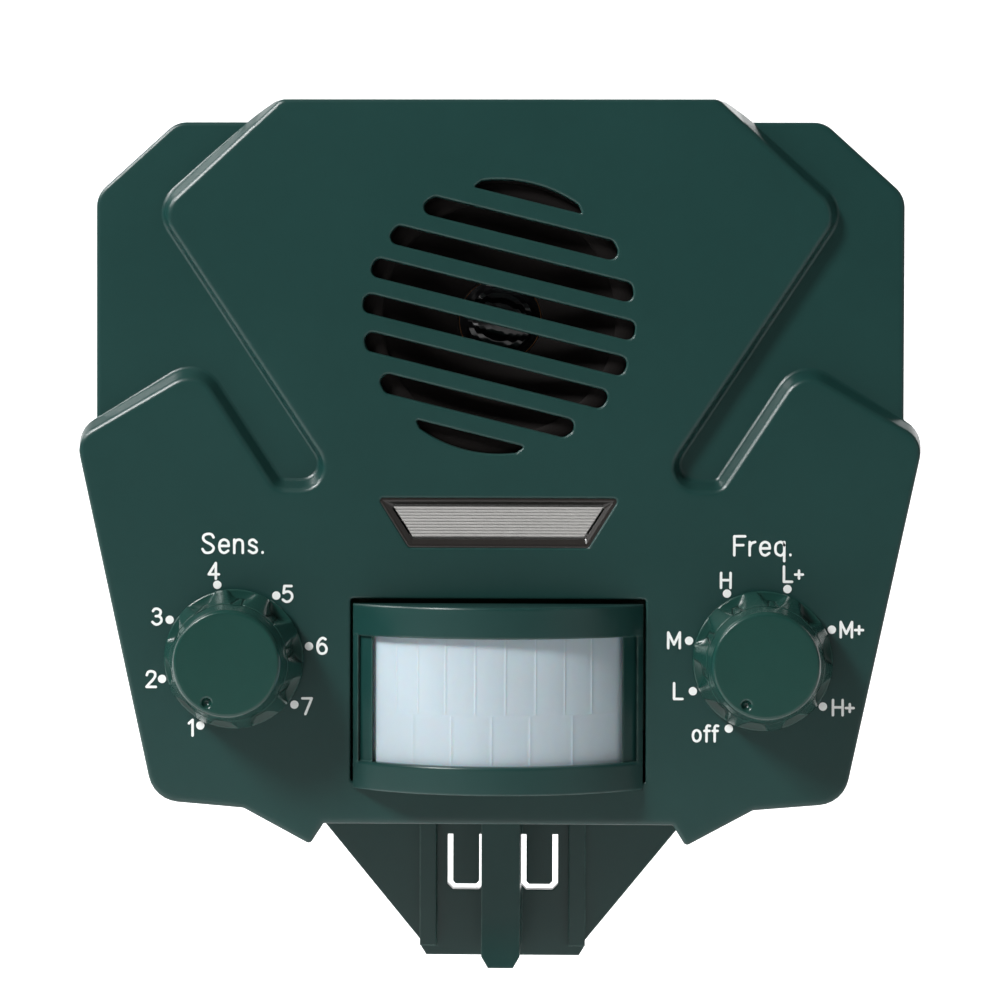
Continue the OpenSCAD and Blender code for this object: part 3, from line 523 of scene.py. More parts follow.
class Skin:
    """Faces with normals of their own, gathered into one mesh of closed solids."""

    def __init__(self) -> None:
        """Starts an empty skin."""
        self.places: list[Vector] = []
        self.known: dict[tuple, int] = {}
        self.faces: list[list[int]] = []
        self.shades: list[dict[int, Vector]] = []

    def _index(self, place: Vector) -> int:
        """Number of the vertex at a place, made if new."""
        key = tuple(round(c * WELD_CELLS) for c in place)
        if key not in self.known:
            self.known[key] = len(self.places)
            self.places.append(place.copy())
        return self.known[key]

    def face(self, places: Sequence[Vector], normals: Sequence[Vector]) -> None:
        """Adds one face.

        Args:
            places: its corners.
            normals: the normal at each corner.
        """
        shade: dict[int, Vector] = {}
        for place, normal in zip(places, normals):
            shade.setdefault(self._index(place), normal)
        if len(shade) >= 3:
            self.faces.append(list(shade))
            self.shades.append(shade)

    def patch(self, rows: Sequence[Row], wrap: bool = True) -> None:
        """Adds a grid of faces that is smooth all over.

        Args:
            rows: rows of equal length.
            wrap: joins the end of each row to its start.
        """
        count = len(rows[0])
        sums = [[Vector() for _ in row] for row in rows]
        quads = []
        for i in range(len(rows) - 1):
            for k in range(count if wrap else count - 1):
                n = (k + 1) % count
                spots = ((i, k), (i, n), (i + 1, n), (i + 1, k))
                a, b, c, d = (rows[r][s] for r, s in spots)
                normal = (c - a).cross(d - b)
                quads.append(spots)
                for r, s in spots:
                    sums[r][s] += normal
        for spots in quads:
            self.face([rows[r][s] for r, s in spots],
                      [sums[r][s].normalized() if sums[r][s].length > NO_LENGTH else FRONT for r, s in spots])

    def sweep(self, rows: Sequence[Row], reach: Sequence[float], wrap: bool = True) -> None:
        """Adds a surface through rows, rounding it at each row between the first and the last.

        Args:
            rows: the rows of an unrounded shape.
            reach: how far the rounding at each inner row goes.
            wrap: joins the end of each row to its start.
        """
        current = [rows[0]]
        for before, corner, after, r in zip(rows, rows[1:], rows[2:], reach):
            starts = [towards(q, p, r) for p, q in zip(before, corner)]
            ends = [towards(q, p, r) for p, q in zip(after, corner)]
            for step in range(ROUNDING_STEPS + 1):
                share = step / ROUNDING_STEPS
                current.append([bend(a, q, b, share) for a, q, b in zip(starts, corner, ends)])
        current.append(rows[-1])
        self.patch(current, wrap)

    def fill(self, loops: Sequence[Row], normal: Vector) -> None:
        """Fills a flat region that has holes.

        Args:
            loops: its outer edge and the edges of its holes.
            normal: the region's normal, along one axis.
        """
        axis = max(range(3), key=lambda k: abs(normal[k]))
        keep = [k for k in range(3) if k != axis]
        places: Row = []
        edges = []
        for loop in loops:
            first = len(places)
            tidy = [p for i, p in enumerate(loop) if (p - loop[i - 1]).length > APART]
            places += tidy
            edges += [(first + i, first + (i + 1) % len(tidy)) for i in range(len(tidy))]
        flat = [Vector((p[keep[0]], p[keep[1]])) for p in places]
        spots, _, faces, origins, _, _ = delaunay_2d_cdt(flat, edges, [], CDT_INSIDE, CDT_NEAR)
        level = places[0][axis]
        holes = [[(p[keep[0]], p[keep[1]]) for p in loop] for loop in loops[1:]]
        for corners in faces:
            u = sum(spots[c].x for c in corners) / len(corners)
            v = sum(spots[c].y for c in corners) / len(corners)
            if any(contains(hole, u, v) for hole in holes):
                continue
            ring = []
            for c in corners:
                place = Vector()
                place[axis], place[keep[0]], place[keep[1]] = level, spots[c].x, spots[c].y
                ring.append(places[origins[c][0]] if origins[c] else place)
            self.face(ring, [normal] * len(ring))

    def build(self, name: str, body: Body, slot: Slot, replaces: Sequence[str] = (),
              finish: Optional[Finish] = None) -> None:
        """Makes the mesh and registers it as a piece.

        Args:
            name: the piece's name.
            body: the body that it rides on.
            slot: the record's slot that it stands for.
            replaces: CAD nodes that it stands for.
            finish: its finish, if it isn't the slot's own.
        """
        mesh = bpy.data.meshes.new(name)
        mesh.from_pydata([p * MM for p in self.places], [], self.faces)
        tidy = bmesh.new()
        tidy.from_mesh(mesh)
        bmesh.ops.recalc_face_normals(tidy, faces=tidy.faces)
        tidy.to_mesh(mesh)
        tidy.free()
        mesh.shade_smooth()
        normals: list[Vector] = []
        for polygon in mesh.polygons:
            shade = self.shades[polygon.index]
            for loop in polygon.loop_indices:
                normal = shade[mesh.loops[loop].vertex_index]
                normals.append(normal if normal.dot(polygon.normal) >= 0 else -normal)
        mesh.normals_split_custom_set(normals)
        register(bpy.data.objects.new(name, mesh), body, replaces, finish or FINISHES[slot])


def register(made: bpy.types.Object, body: Body, replaces: Sequence[str], finish: Finish) -> None:
    """Links a piece, gives it its finish and ties it to its body.

    Args:
        made: the piece.
        body: the body that it rides on.
        replaces: CAD nodes that it stands for.
        finish: its finish.
    """
    made.data.materials.clear()
    made.data.materials.append(finish.material())
    bpy.context.scene.collection.objects.link(made)
    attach(made, body.value)
    if replaces:
        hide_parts(*replaces)
    LOG.info("made %s on %s", made.name, body.value)


# --- casing ---


UNDER_EDGE: tuple[Corner, ...] = ((32.4, 30.3, 0.5), (34.8, 26.4, 0.8), (47.2, 33.1, 1.5), (63.9, 34.5, 6.0))
SIDE_TIP: Corner = (78.7, 103.1, 5.4)
TOP_TIP: Corner = (41.3, 164.3, 2.5)


@dataclass
class FrontShell:
    """Front half of the casing: a lower level, a raised face on it, and what is cut through the face.

    Attributes:
        top: right half of the raised face's upper edge.
        foot: right half of the line where its sloped sides meet the lower level.
        base: right half of the casing's outline.
        pocket: right half of the hollow behind the raised face.
        shared: how many corners at each end of the outlines lie on the casing's own edge.
        sloped: corners from shared up to this one lie on a slope.
        band: width of the rounded band along the upper edges.
        ledge: how far the hollow stays inside its outline.
        sink: how far a slope's foot, its flare and its buried edge pass the lower level.
        flare: how far the foot runs out under the lower level.
        lip: rounding of the outer edges, then of the slope's foot.
        joint: how far the back edge is cut back, inwards and in depth.
        draft: how much narrower an opening is at its back.
    """

    top: tuple[Corner, ...] = UNDER_EDGE + (
        (78.3, 101.35, 4.6), (55.85, 114.45, 5.0), (41.15, 92.1, 2.9), (28.57, 92.1, 4.3),
        (62.66, 143.41, 4.7), (45.1, 159.7, 40.0), (40.15, 164.3, 2.2))
    foot: tuple[Corner, ...] = UNDER_EDGE + (
        SIDE_TIP, (55.4, 116.7, 6.2), (40.45, 93.9, 1.3), (30.61, 93.9, 3.2),
        (64.07, 144.31, 5.6), (46.1, 160.9, 40.0), TOP_TIP)
    base: tuple[Corner, ...] = UNDER_EDGE + (
        SIDE_TIP, (74.9, 105.32, 0.6), (74.9, 146.8, 5.0), (60.0, 160.3, 5.0), (45.62, 160.3, 0.6), TOP_TIP)
    pocket: tuple[Corner, ...] = UNDER_EDGE + (
        SIDE_TIP, (56.1, 116.3, 5.7), (40.2, 92.1, 2.5), (28.4, 92.1, 4.3), (63.0, 144.2, 5.2), TOP_TIP)
    shared: int = 5
    sloped: int = 9
    wall: float = 2.4
    step: float = 3.0
    band: float = 1.6
    ledge: float = 3.0
    sink: tuple[float, float, float] = (-0.02, 0.12, 0.3)
    flare: float = 1.5
    lip: Flat = (0.75, 0.6)
    joint: Flat = (0.3, 0.35)
    grille: Flat = (0.0, 124.2)
    grille_r: float = 25.3
    slot_pitch: float = 6.77
    slot_w: float = 3.6
    slot_r: float = 1.5
    slot_tilt: float = 13.9
    bars: tuple[float, ...] = (-2.5, -1.5, -0.5, 0.5, 1.5, 2.5)
    crescent_low: float = 22.1
    crescent_half: float = 10.4
    crescent_r: Flat = (0.25, 0.3)
    crescent_steps: int = 16
    edge: float = 0.55
    draft: float = 0.04
    dial_hole_r: float = 3.25
    bay: tuple[float, float, float] = (27.3, 38.2, 72.1)
    bay_r: float = 0.5
    strobe: tuple[Corner, ...] = (
        (-16.6, 81.55, 0.9), (16.6, 81.55, 0.9), (22.3, 90.7, 0.6), (-22.3, 90.7, 0.6))

    def __post_init__(self) -> None:
        """Reads the planes from the CAD nodes."""
        self.face_y = low("front_shell").y
        self.back_y = high("front_shell").y
        self.base_y = self.face_y + self.step

    def turned(self, flat: Sequence[Flat], extra: float = 0.0) -> list[Flat]:
        """Turns an outline drawn about the grille's centre to the slots' tilt.

        Args:
            flat: points about the centre.
            extra: further degrees.

        Returns:
            The turned points, placed on the face.
        """
        a = -math.radians(self.slot_tilt + extra)
        c, s = math.cos(a), math.sin(a)
        return [(self.grille[0] + x * c - z * s, self.grille[1] + x * s + z * c) for x, z in flat]

    def slot(self, off: float, grow: float) -> list[Flat]:
        """Outline of the slot at a distance off the grille's centre line."""
        half = self.slot_w / 2
        near = math.sqrt(self.grille_r ** 2 - (abs(off) - half) ** 2)
        far = math.sqrt(self.grille_r ** 2 - (abs(off) + half) ** 2)
        below, above = (near, far) if off > 0 else (far, near)
        corners = [(x, z, self.slot_r) for x, z in ((-below, off - half), (below, off - half),
                                                    (above, off + half), (-above, off + half))]
        return self.turned(outline(corners, grow))

    def crescent(self, extra: float, grow: float) -> list[Flat]:
        """Outline of the crescent beyond the outermost bar."""
        reach = math.asin(self.crescent_half / self.grille_r)
        tip_r, arc_r = self.crescent_r
        corners = [(s * self.crescent_half, self.crescent_low, tip_r) for s in (-1, 1)]
        for k in range(1, self.crescent_steps):
            turn = reach - 2 * reach * k / self.crescent_steps
            corners.append((self.grille_r * math.sin(turn), self.grille_r * math.cos(turn), arc_r))
        return self.turned(outline(corners, grow, STEPS // 2), extra)

    def holes(self, grow: float) -> list[list[Flat]]:
        """Outlines of all that is cut through the face, moved outwards by grow."""
        half, bottom, top = self.bay
        bay = [(x, z, self.bay_r) for x, z in ((-half, bottom), (half, bottom), (half, top), (-half, top))]
        shafts = [centre(node) for node in ("sensitivity_shaft", "frequency_shaft")]
        dials = [circle(p.x, p.z, self.dial_hole_r + grow) for p in shafts]
        return ([self.slot(off * self.slot_pitch, grow) for off in self.bars]
                + [self.crescent(extra, grow) for extra in (0.0, 180.0)]
                + [outline(bay, grow), outline(self.strobe, grow)] + dials)

    def hollow(self, y: float) -> Row:
        """Edge of the hollow behind the raised face, at one depth."""
        return at_depth(outline(mirrored(self.pocket), -self.ledge), y)

    def raised(self, skin: Skin) -> None:
        """Adds the raised face with its sloped sides and its openings."""
        top, foot = mirrored(self.top), mirrored(self.foot)
        last = len(top) - 1
        share = [1.0 if self.shared <= min(i, last - i) < self.sloped else 0.0
                 for i in range(len(top)) for _ in range(STEPS + 1)]
        above, below, buried = (self.base_y + off for off in self.sink)
        inner = at_depth(outline(top, -self.band), self.face_y)
        edge = at_depth(outline(top), self.face_y)
        seat = at_depth(outline(foot), self.base_y)
        lower = between((seat, at_depth(outline(foot), above)), share)
        flare = between((seat, at_depth(outline(foot, self.flare), below)), share)
        under = [Vector((p.x, buried, p.z)) for p in flare]
        skin.sweep([inner, edge, lower, flare], self.lip)
        skin.patch([flare, under])
        skin.fill([under, self.hollow(buried)], -FRONT)
        ceiling = self.face_y + self.wall
        skin.patch([self.hollow(buried), self.hollow(ceiling)])
        wide, rims = ([at_depth(h, self.face_y) for h in self.holes(grow)] for grow in (self.edge, 0.0))
        backs = [at_depth(h, ceiling) for h in self.holes(-self.draft)]
        for rows in zip(wide, rims, backs):
            skin.sweep(rows, (self.edge,))
        skin.fill([inner, *wide], FRONT)
        skin.fill([self.hollow(ceiling), *backs], -FRONT)

    def lower(self, skin: Skin) -> None:
        """Adds the lower level and the side walls back to the joint between the shells."""
        base = mirrored(self.base)
        share = [0.0 if min(i, len(base) - 1 - i) < self.shared else 1.0
                 for i in range(len(base)) for _ in range(STEPS + 1)]
        plain = at_depth(outline(base), self.base_y)
        inset = between((plain, at_depth(outline(base, -self.band), self.base_y)), share)
        rows = [inset]
        for step in range(ROUNDING_STEPS + 1):
            row = []
            for p, q, s in zip(inset, plain, share):
                r = self.lip[0] * s
                row.append(bend(q + (p - q).normalized() * r, q, q - FRONT * r, step / ROUNDING_STEPS))
            rows.append(row)
        narrower, shorter = self.joint
        floor_y = self.base_y + self.wall
        side = at_depth(outline(base), self.back_y - shorter)
        skin.patch([*rows, side])
        walls = [side] + [at_depth(outline(base, -inwards), y) for inwards, y in (
            (narrower, self.back_y), (self.wall, self.back_y), (self.wall, floor_y))]
        for one, two in zip(walls, walls[1:]):
            skin.patch([one, two])
        front, back = self.hollow(self.base_y), self.hollow(floor_y)
        skin.patch([front, back])
        skin.fill([inset, front], FRONT)
        skin.fill([walls[-1], back], -FRONT)

    def build(self) -> None:
        """Makes the front shell."""
        face, casing = Skin(), Skin()
        self.raised(face)
        face.build("front_face", Body.CASING, Slot.CASING)
        self.lower(casing)
        casing.build("front_casing", Body.CASING, Slot.CASING, ("front_shell",))


# --- legends ---

GLYPHS: dict[str, tuple[float, str]] = {
    "1": (2.4, "0.2,4.7 1.6,6 1.6,0"),
    "2": (4.0, "~0.1,4.5 0.6,5.6 1.8,6 3.1,5.5 3.3,4.2 2.5,2.8 1.1,1.3 0,0; 0,0 3.6,0"),
    "3": (4.0, "~0.2,5.1 0.9,5.9 2.1,5.9 3.1,5.1 2.9,3.8 2.0,3.2 1.3,3.15; ~1.3,3.15 2.4,3.1 3.3,2.4 "
               "3.4,1.2 2.5,0.2 1.2,0 0,0.9"),
    "4": (4.2, "2.7,0 2.7,6 0,1.7 3.9,1.7"),
    "5": (4.0, "3.3,6 0.6,6 0.3,3.3; ~0.3,3.3 1.2,3.8 2.4,3.8 3.4,2.9 3.5,1.5 2.6,0.3 1.2,0 0,0.8"),
    "6": (4.0, "~3.1,5.5 2.2,6 1.1,5.5 0.2,3.9 0.1,2 0.7,0.5 1.8,0 3.1,0.5 3.5,1.9 2.9,3.2 1.8,3.7 "
               "0.7,3.2 0.15,2.2"),
    "7": (3.9, "0,6 3.6,6 1.2,0"),
    "L": (3.6, "0,6 0,0 3.2,0"),
    "M": (4.9, "0,0 0,6 2.2,1.4 4.4,6 4.4,0"),
    "H": (4.3, "0,0 0,6; 3.8,0 3.8,6; 0,3.1 3.8,3.1"),
    "+": (3.8, "0,3 3.2,3; 1.6,1.4 1.6,4.6"),
    "S": (4.3, "~3.5,4.9 2.9,5.8 1.8,6 0.6,5.6 0.2,4.6 0.9,3.6 2.6,2.7 3.5,1.7 3.1,0.5 1.9,0 0.7,0.2 "
               "0,1.2"),
    "e": (3.9, "0.15,2.2 3.1,2.2; ~3.1,2.2 2.8,3.6 1.6,4.2 0.5,3.6 0.1,2.1 0.5,0.6 1.7,0 2.9,0.7"),
    "n": (3.6, "0,4.2 0,0; ~0,2.6 0.5,3.8 1.5,4.2 2.5,3.7 2.7,2.6; 2.7,2.6 2.7,0"),
    "s": (3.3, "~2.5,3.4 1.5,4.2 0.4,3.8 0.3,2.8 1.3,2.2 2.4,1.6 2.5,0.5 1.4,0 0.1,0.7"),
    ".": (1.0, "0.2,0.1 0.2,0.25"),
    "F": (3.9, "0,0 0,6 3.4,6; 0,3.2 2.8,3.2"),
    "r": (2.3, "0,4.2 0,0; ~0,2.4 0.5,3.7 1.7,4.2"),
    "q": (3.6, "~2.8,3.2 2.2,4.0 1.4,4.2 0.3,3.5 0,2.1 0.3,0.7 1.4,0 2.2,0.2 2.8,1.0; 2.8,4.2 2.8,-1.8"),
    "o": (3.6, "~2.9,2.1 2.5,3.6 1.45,4.2 0.4,3.6 0,2.1 0.4,0.6 1.45,0 2.5,0.6 2.9,2.1"),
    "f": (2.3, "~2.1,5.9 1.3,6 0.8,5.3 0.8,4.2; 0.8,4.2 0.8,0; 0,4.0 1.9,4.0"),
}


def strokes_of(letter: str) -> list[tuple[bool, list[Flat]]]:
    """Strokes of a letter: whether each is curved, and its points."""
    made = []
    for stroke in GLYPHS[letter][1].split("; "):
        pairs = (pair.split(",") for pair in stroke.lstrip("~").split())
        made.append((stroke.startswith("~"), [(float(x), float(z)) for x, z in pairs]))
    return made


@dataclass
class Legends:
    """White printing round the dials: a dot and a word for each position, and a title over each dial.

    Attributes:
        words: text, x, z of its middle and cap height.
        dials: for each shaft, the clockwise angles of its dots.
        stroke: half the width of a stroke.
        units: cap height in the units of the glyphs.
        last_gap: space that the last letter leaves.
        plus: size of a plus sign beside the letters.
        thick: how far the printing stands out.
        seat: how far it goes into the face.
        layer: how much more each next stroke stands out.
        layers: after how many strokes that starts again.
        mitre: how far a corner between strokes is kept from a long point.
    """

    words: tuple[tuple[str, float, float, float], ...] = (
        ("1", -56.9, 48.0, 2.9), ("2", -64.3, 57.0, 2.9), ("3", -63.2, 68.6, 2.9), ("4", -52.7, 77.1, 2.9),
        ("5", -39.0, 72.9, 2.9), ("6", -32.6, 63.3, 2.9), ("7", -35.4, 52.1, 2.9),
        ("off", 38.3, 47.4, 2.9), ("L", 33.3, 55.2, 2.9), ("M", 32.5, 64.6, 2.9), ("H", 42.0, 75.7, 2.75),
        ("L+", 54.5, 76.9, 2.8), ("M+", 65.3, 66.7, 2.8), ("H+", 63.8, 52.3, 2.8),
        ("Sens.", -49.1, 82.2, 3.5), ("Freq.", 48.8, 82.1, 3.5))
    dials: tuple[tuple[str, tuple[float, ...]], ...] = (
        ("sensitivity_shaft", (207.0, 254.0, 300.5, 346.7, 393.5, 440.5, 487.5)),
        ("frequency_shaft", (206.0, 246.0, 285.0, 332.0, 379.0, 425.6, 487.0)))
    dot_ring_r: float = 14.0
    dot_r: float = 0.78
    stroke: float = 0.235
    title_gap: float = 0.95
    word_gap: float = 0.8
    last_gap: float = 0.5
    plus: float = 0.95
    thick: float = 0.045
    seat: float = 0.02
    layer: float = 0.005
    layers: int = 7
    units: float = 6.0
    mitre: float = 0.35
    curve_steps: int = 5
    dot_steps: int = 20

    def ribbon(self, skin: Skin, points: Sequence[Vector], rise: float) -> None:
        """Adds one stroke as a thin bar with round ends.

        Args:
            skin: where it is added.
            points: the stroke's middle line, flat.
            rise: how far its face stands out.
        """
        left, right = [], []
        for i, p in enumerate(points):
            ahead = points[min(i + 1, len(points) - 1)] - p
            behind = p - points[max(i - 1, 0)]
            d1 = behind.normalized() if i else ahead.normalized()
            d2 = ahead.normalized() if i < len(points) - 1 else d1
            n1, n2 = Vector((d1.y, -d1.x)), Vector((d2.y, -d2.x))
            side = (n1 + n2) / max(self.mitre, 1 + n1.dot(n2))
            left.append(p + side * self.stroke)
            right.append(p - side * self.stroke)
        loop = left + self.cap(points[-1], points[-2]) + right[::-1] + self.cap(points[0], points[1])
        self.slab(skin, [(p.x, p.y) for p in loop], rise)

    def cap(self, end: Vector, before: Vector) -> list[Vector]:
        """Points of the round end of a stroke."""
        away = end - before
        start = math.atan2(away.y, away.x) - math.pi / 2
        turns = (start + math.pi * k / STEPS for k in range(1, STEPS))
        return [end + self.stroke * Vector((math.cos(turn), math.sin(turn))) for turn in turns]

    def slab(self, skin: Skin, flat: Sequence[Flat], rise: float) -> None:
        """Adds a thin closed plate on the face."""
        front, back = at_depth(flat, self.face_y - rise), at_depth(flat, self.face_y + self.seat)
        skin.patch([front, back])
        skin.fill([front], FRONT)
        skin.fill([back], -FRONT)

    def smooth(self, points: Sequence[Flat]) -> list[Vector]:
        """A smooth line through points."""
        p = [Vector(q) for q in points]
        closed = points[0] == points[-1]
        made = []
        for i in range(len(p) - 1):
            a, b, c, d = p[max(i - 1, 0)], p[i], p[i + 1], p[min(i + 2, len(p) - 1)]
            if closed:
                a, d = p[i - 1] if i else p[-2], p[i + 2] if i + 2 < len(p) else p[1]
            for k in range(self.curve_steps):
                t = k / self.curve_steps
                made.append(0.5 * (2 * b + (c - a) * t + (2 * a - 5 * b + 4 * c - d) * t * t
                                   + (3 * b - a - 3 * c + d) * t ** 3))
        return made + [p[-1]]

    def word(self, skin: Skin, text: str, x: float, z: float, cap: float) -> None:
        """Adds one word centred on a point."""
        unit = cap / self.units
        gap = self.title_gap if "." in text else self.word_gap
        width = sum(GLYPHS[c][0] + gap for c in text) - self.last_gap - gap
        pen = x - width * unit / 2
        count = 0
        for letter in text:
            small = self.plus if letter == "+" else 1.0
            for curved, points in strokes_of(letter):
                line = self.smooth(points) if curved else [Vector(p) for p in points]
                placed = [Vector((pen + q.x * unit * small, z - cap / 2 + q.y * small * unit)) for q in line]
                span = STEPS if curved else 1
                for part in (placed[k:k + span + 1] for k in range(0, len(placed) - 1, span)):
                    self.ribbon(skin, part, self.thick + self.layer * (count % self.layers))
                    count += 1
            pen += (GLYPHS[letter][0] + gap) * unit

    def build(self) -> None:
        """Makes the printing."""
        self.face_y = low("front_shell").y
        skin = Skin()
        for text, x, z, cap in self.words:
            self.word(skin, text, x, z, cap)
        for node, angles in self.dials:
            middle = centre(node)
            for turn in map(math.radians, angles):
                spot = circle(middle.x + self.dot_ring_r * math.sin(turn),
                              middle.z + self.dot_ring_r * math.cos(turn), self.dot_r, self.dot_steps)
                self.slab(skin, spot, self.thick)
        skin.build("dial_printing", Body.CASING, Slot.CASING, finish=PRINT)


# --- knobs ---


@dataclass
class Knob:
    """A fluted knob with a flat face and a dimple that marks its setting.

    Attributes:
        node: the CAD node that it stands for.
        body: the body that turns.
        lean: how far the flutes lean inwards at the face.
        flute_run: distance from the flutes' middle line to the foot of the side.
        soft: how far the edges of a flute are eased.
        rim: rings of the face's edge: past face_r, depth and share of the flutes.
        side_rings: rings of the fluted side.
        side_reach: how far the side starts behind the face, and how much of the height it leaves.
        side_grow: what the side adds to face_r at its start, and takes from the outer radius at its end.
        root: rings at the end of the side: inside the outer radius, ahead of the back.
        skirt: rings of the plain skirt: inside the outer radius, ahead of the back.
        hollow: the skirt's inner radius, the hollow's and its collar's, all inside the outer radius.
        dimple: rings of the dimple: share of its radius, and depth.
    """

    node: str
    body: Body
    face_r: float = 9.55
    flute_r: float = 3.45
    flute_at: float = 14.6
    flutes: int = 10
    flute_turn: float = 8.0
    lean: float = 0.95
    flute_run: float = 1.7
    soft: float = 0.35
    rim: tuple[Corner, ...] = ((-0.4, 0.0, 0.0), (-0.18, 0.03, 0.5), (-0.03, 0.14, 0.9))
    side_rings: int = 28
    side_reach: Flat = (0.6, 3.8)
    side_grow: Flat = (0.25, 0.3)
    root: tuple[Flat, ...] = ((0.12, 2.6), (0.05, 1.7), (0.05, 1.35), (0.25, 1.2))
    skirt: tuple[Flat, ...] = ((0.25, 1.2), (0.06, 1.14), (0.0, 0.95), (0.0, 0.2), (0.2, 0.0))
    hollow: Flat = (1.6, 2.2)
    collar_r: float = 5.2
    deep: float = 4.0
    dimple_at: float = 7.9
    dimple_r: float = 0.95
    dimple_turn: float = 207.0
    dimple: tuple[Flat, ...] = (
        (1.25, 0.0), (1.02, 0.06), (0.9, 0.25), (0.8, 0.6), (0.55, 0.85), (0.25, 0.95))
    dimple_steps: int = 24
    count: int = 240

    def __post_init__(self) -> None:
        """Reads the place and the size from the CAD node."""
        self.middle = centre(self.node)
        self.front, self.back = low(self.node).y, high(self.node).y
        self.outer = high(self.node).x - self.middle.x

    def radius(self, plain: float, angle: float, share: float) -> float:
        """Radius of the fluted side.

        Args:
            plain: radius without flutes.
            angle: where round the knob, clockwise from the top, in degrees.
            share: how much of the flutes shows.

        Returns:
            The radius with the nearest flute cut in.
        """
        pitch = 360.0 / self.flutes
        off = math.radians((angle - self.flute_turn + pitch / 2) % pitch - pitch / 2)
        run = self.flute_at - self.flute_run - self.face_r
        at = self.flute_at - self.lean * (1 - (plain - self.face_r) / run)
        side = at * math.sin(off)
        if abs(side) >= self.flute_r:
            return plain
        cut = at * math.cos(off) - math.sqrt(self.flute_r ** 2 - side ** 2)
        blend = max(0.0, min(1.0, 0.5 + 0.5 * (plain - cut) / self.soft))
        eased = plain + (cut - plain) * blend - self.soft * 0.5 * blend * (1 - blend)
        return plain + (min(plain, eased) - plain) * share

    def ring(self, radius: float, depth: float, share: float = 0.0) -> Row:
        """One ring of points about the knob's axis."""
        made = []
        for k in range(self.count):
            angle = 360.0 * k / self.count
            r = self.radius(radius, angle, share) if share else radius
            a = math.radians(angle)
            made.append(Vector((self.middle.x + r * math.sin(a), depth, self.middle.z + r * math.cos(a))))
        return made

    def build(self) -> None:
        """Makes the knob."""
        skin = Skin()
        rim = [self.ring(self.face_r + past, self.front + depth, share) for past, depth, share in self.rim]
        start, left = self.side_reach
        wider, short = self.side_grow
        side = []
        for k in range(self.side_rings + 1):
            t = k / self.side_rings
            r = self.face_r + wider + t * (self.outer - short - self.face_r - wider)
            side.append(self.ring(r, self.front + start + t * (self.back - self.front - left), 1.0))
        root = [self.ring(self.outer - inside, self.back - ahead, 1.0) for inside, ahead in self.root[:-1]]
        inside, ahead = self.root[-1]
        skin.patch(rim + side + root[:-1])
        skin.patch([*root[-2:], self.ring(self.outer - inside, self.back - ahead)])
        skirt = [self.ring(self.outer - inside, self.back - ahead) for inside, ahead in self.skirt]
        skin.patch(skirt)
        edge, cavity = self.hollow
        floor_y = self.front + self.deep
        walls = [skirt[-1], self.ring(self.outer - edge, self.back), self.ring(self.outer - cavity, floor_y),
                 self.ring(self.collar_r, floor_y), self.ring(self.collar_r, self.back)]
        for one, two in zip(walls, walls[1:]):
            skin.patch([one, two])
        skin.fill([walls[-1]], -FRONT)
        turn = math.radians(self.dimple_turn)
        x = self.middle.x + self.dimple_at * math.sin(turn)
        z = self.middle.z + self.dimple_at * math.cos(turn)
        rings = [at_depth(circle(x, z, self.dimple_r * share, self.dimple_steps), self.front + depth)
                 for share, depth in self.dimple]
        skin.patch(rings)
        skin.fill([rings[-1]], FRONT)
        skin.fill([rim[0], rings[0]], FRONT)
        skin.build(self.node + "_fluted", self.body, Slot.KNOB, (self.node,))


# --- motion sensor ---


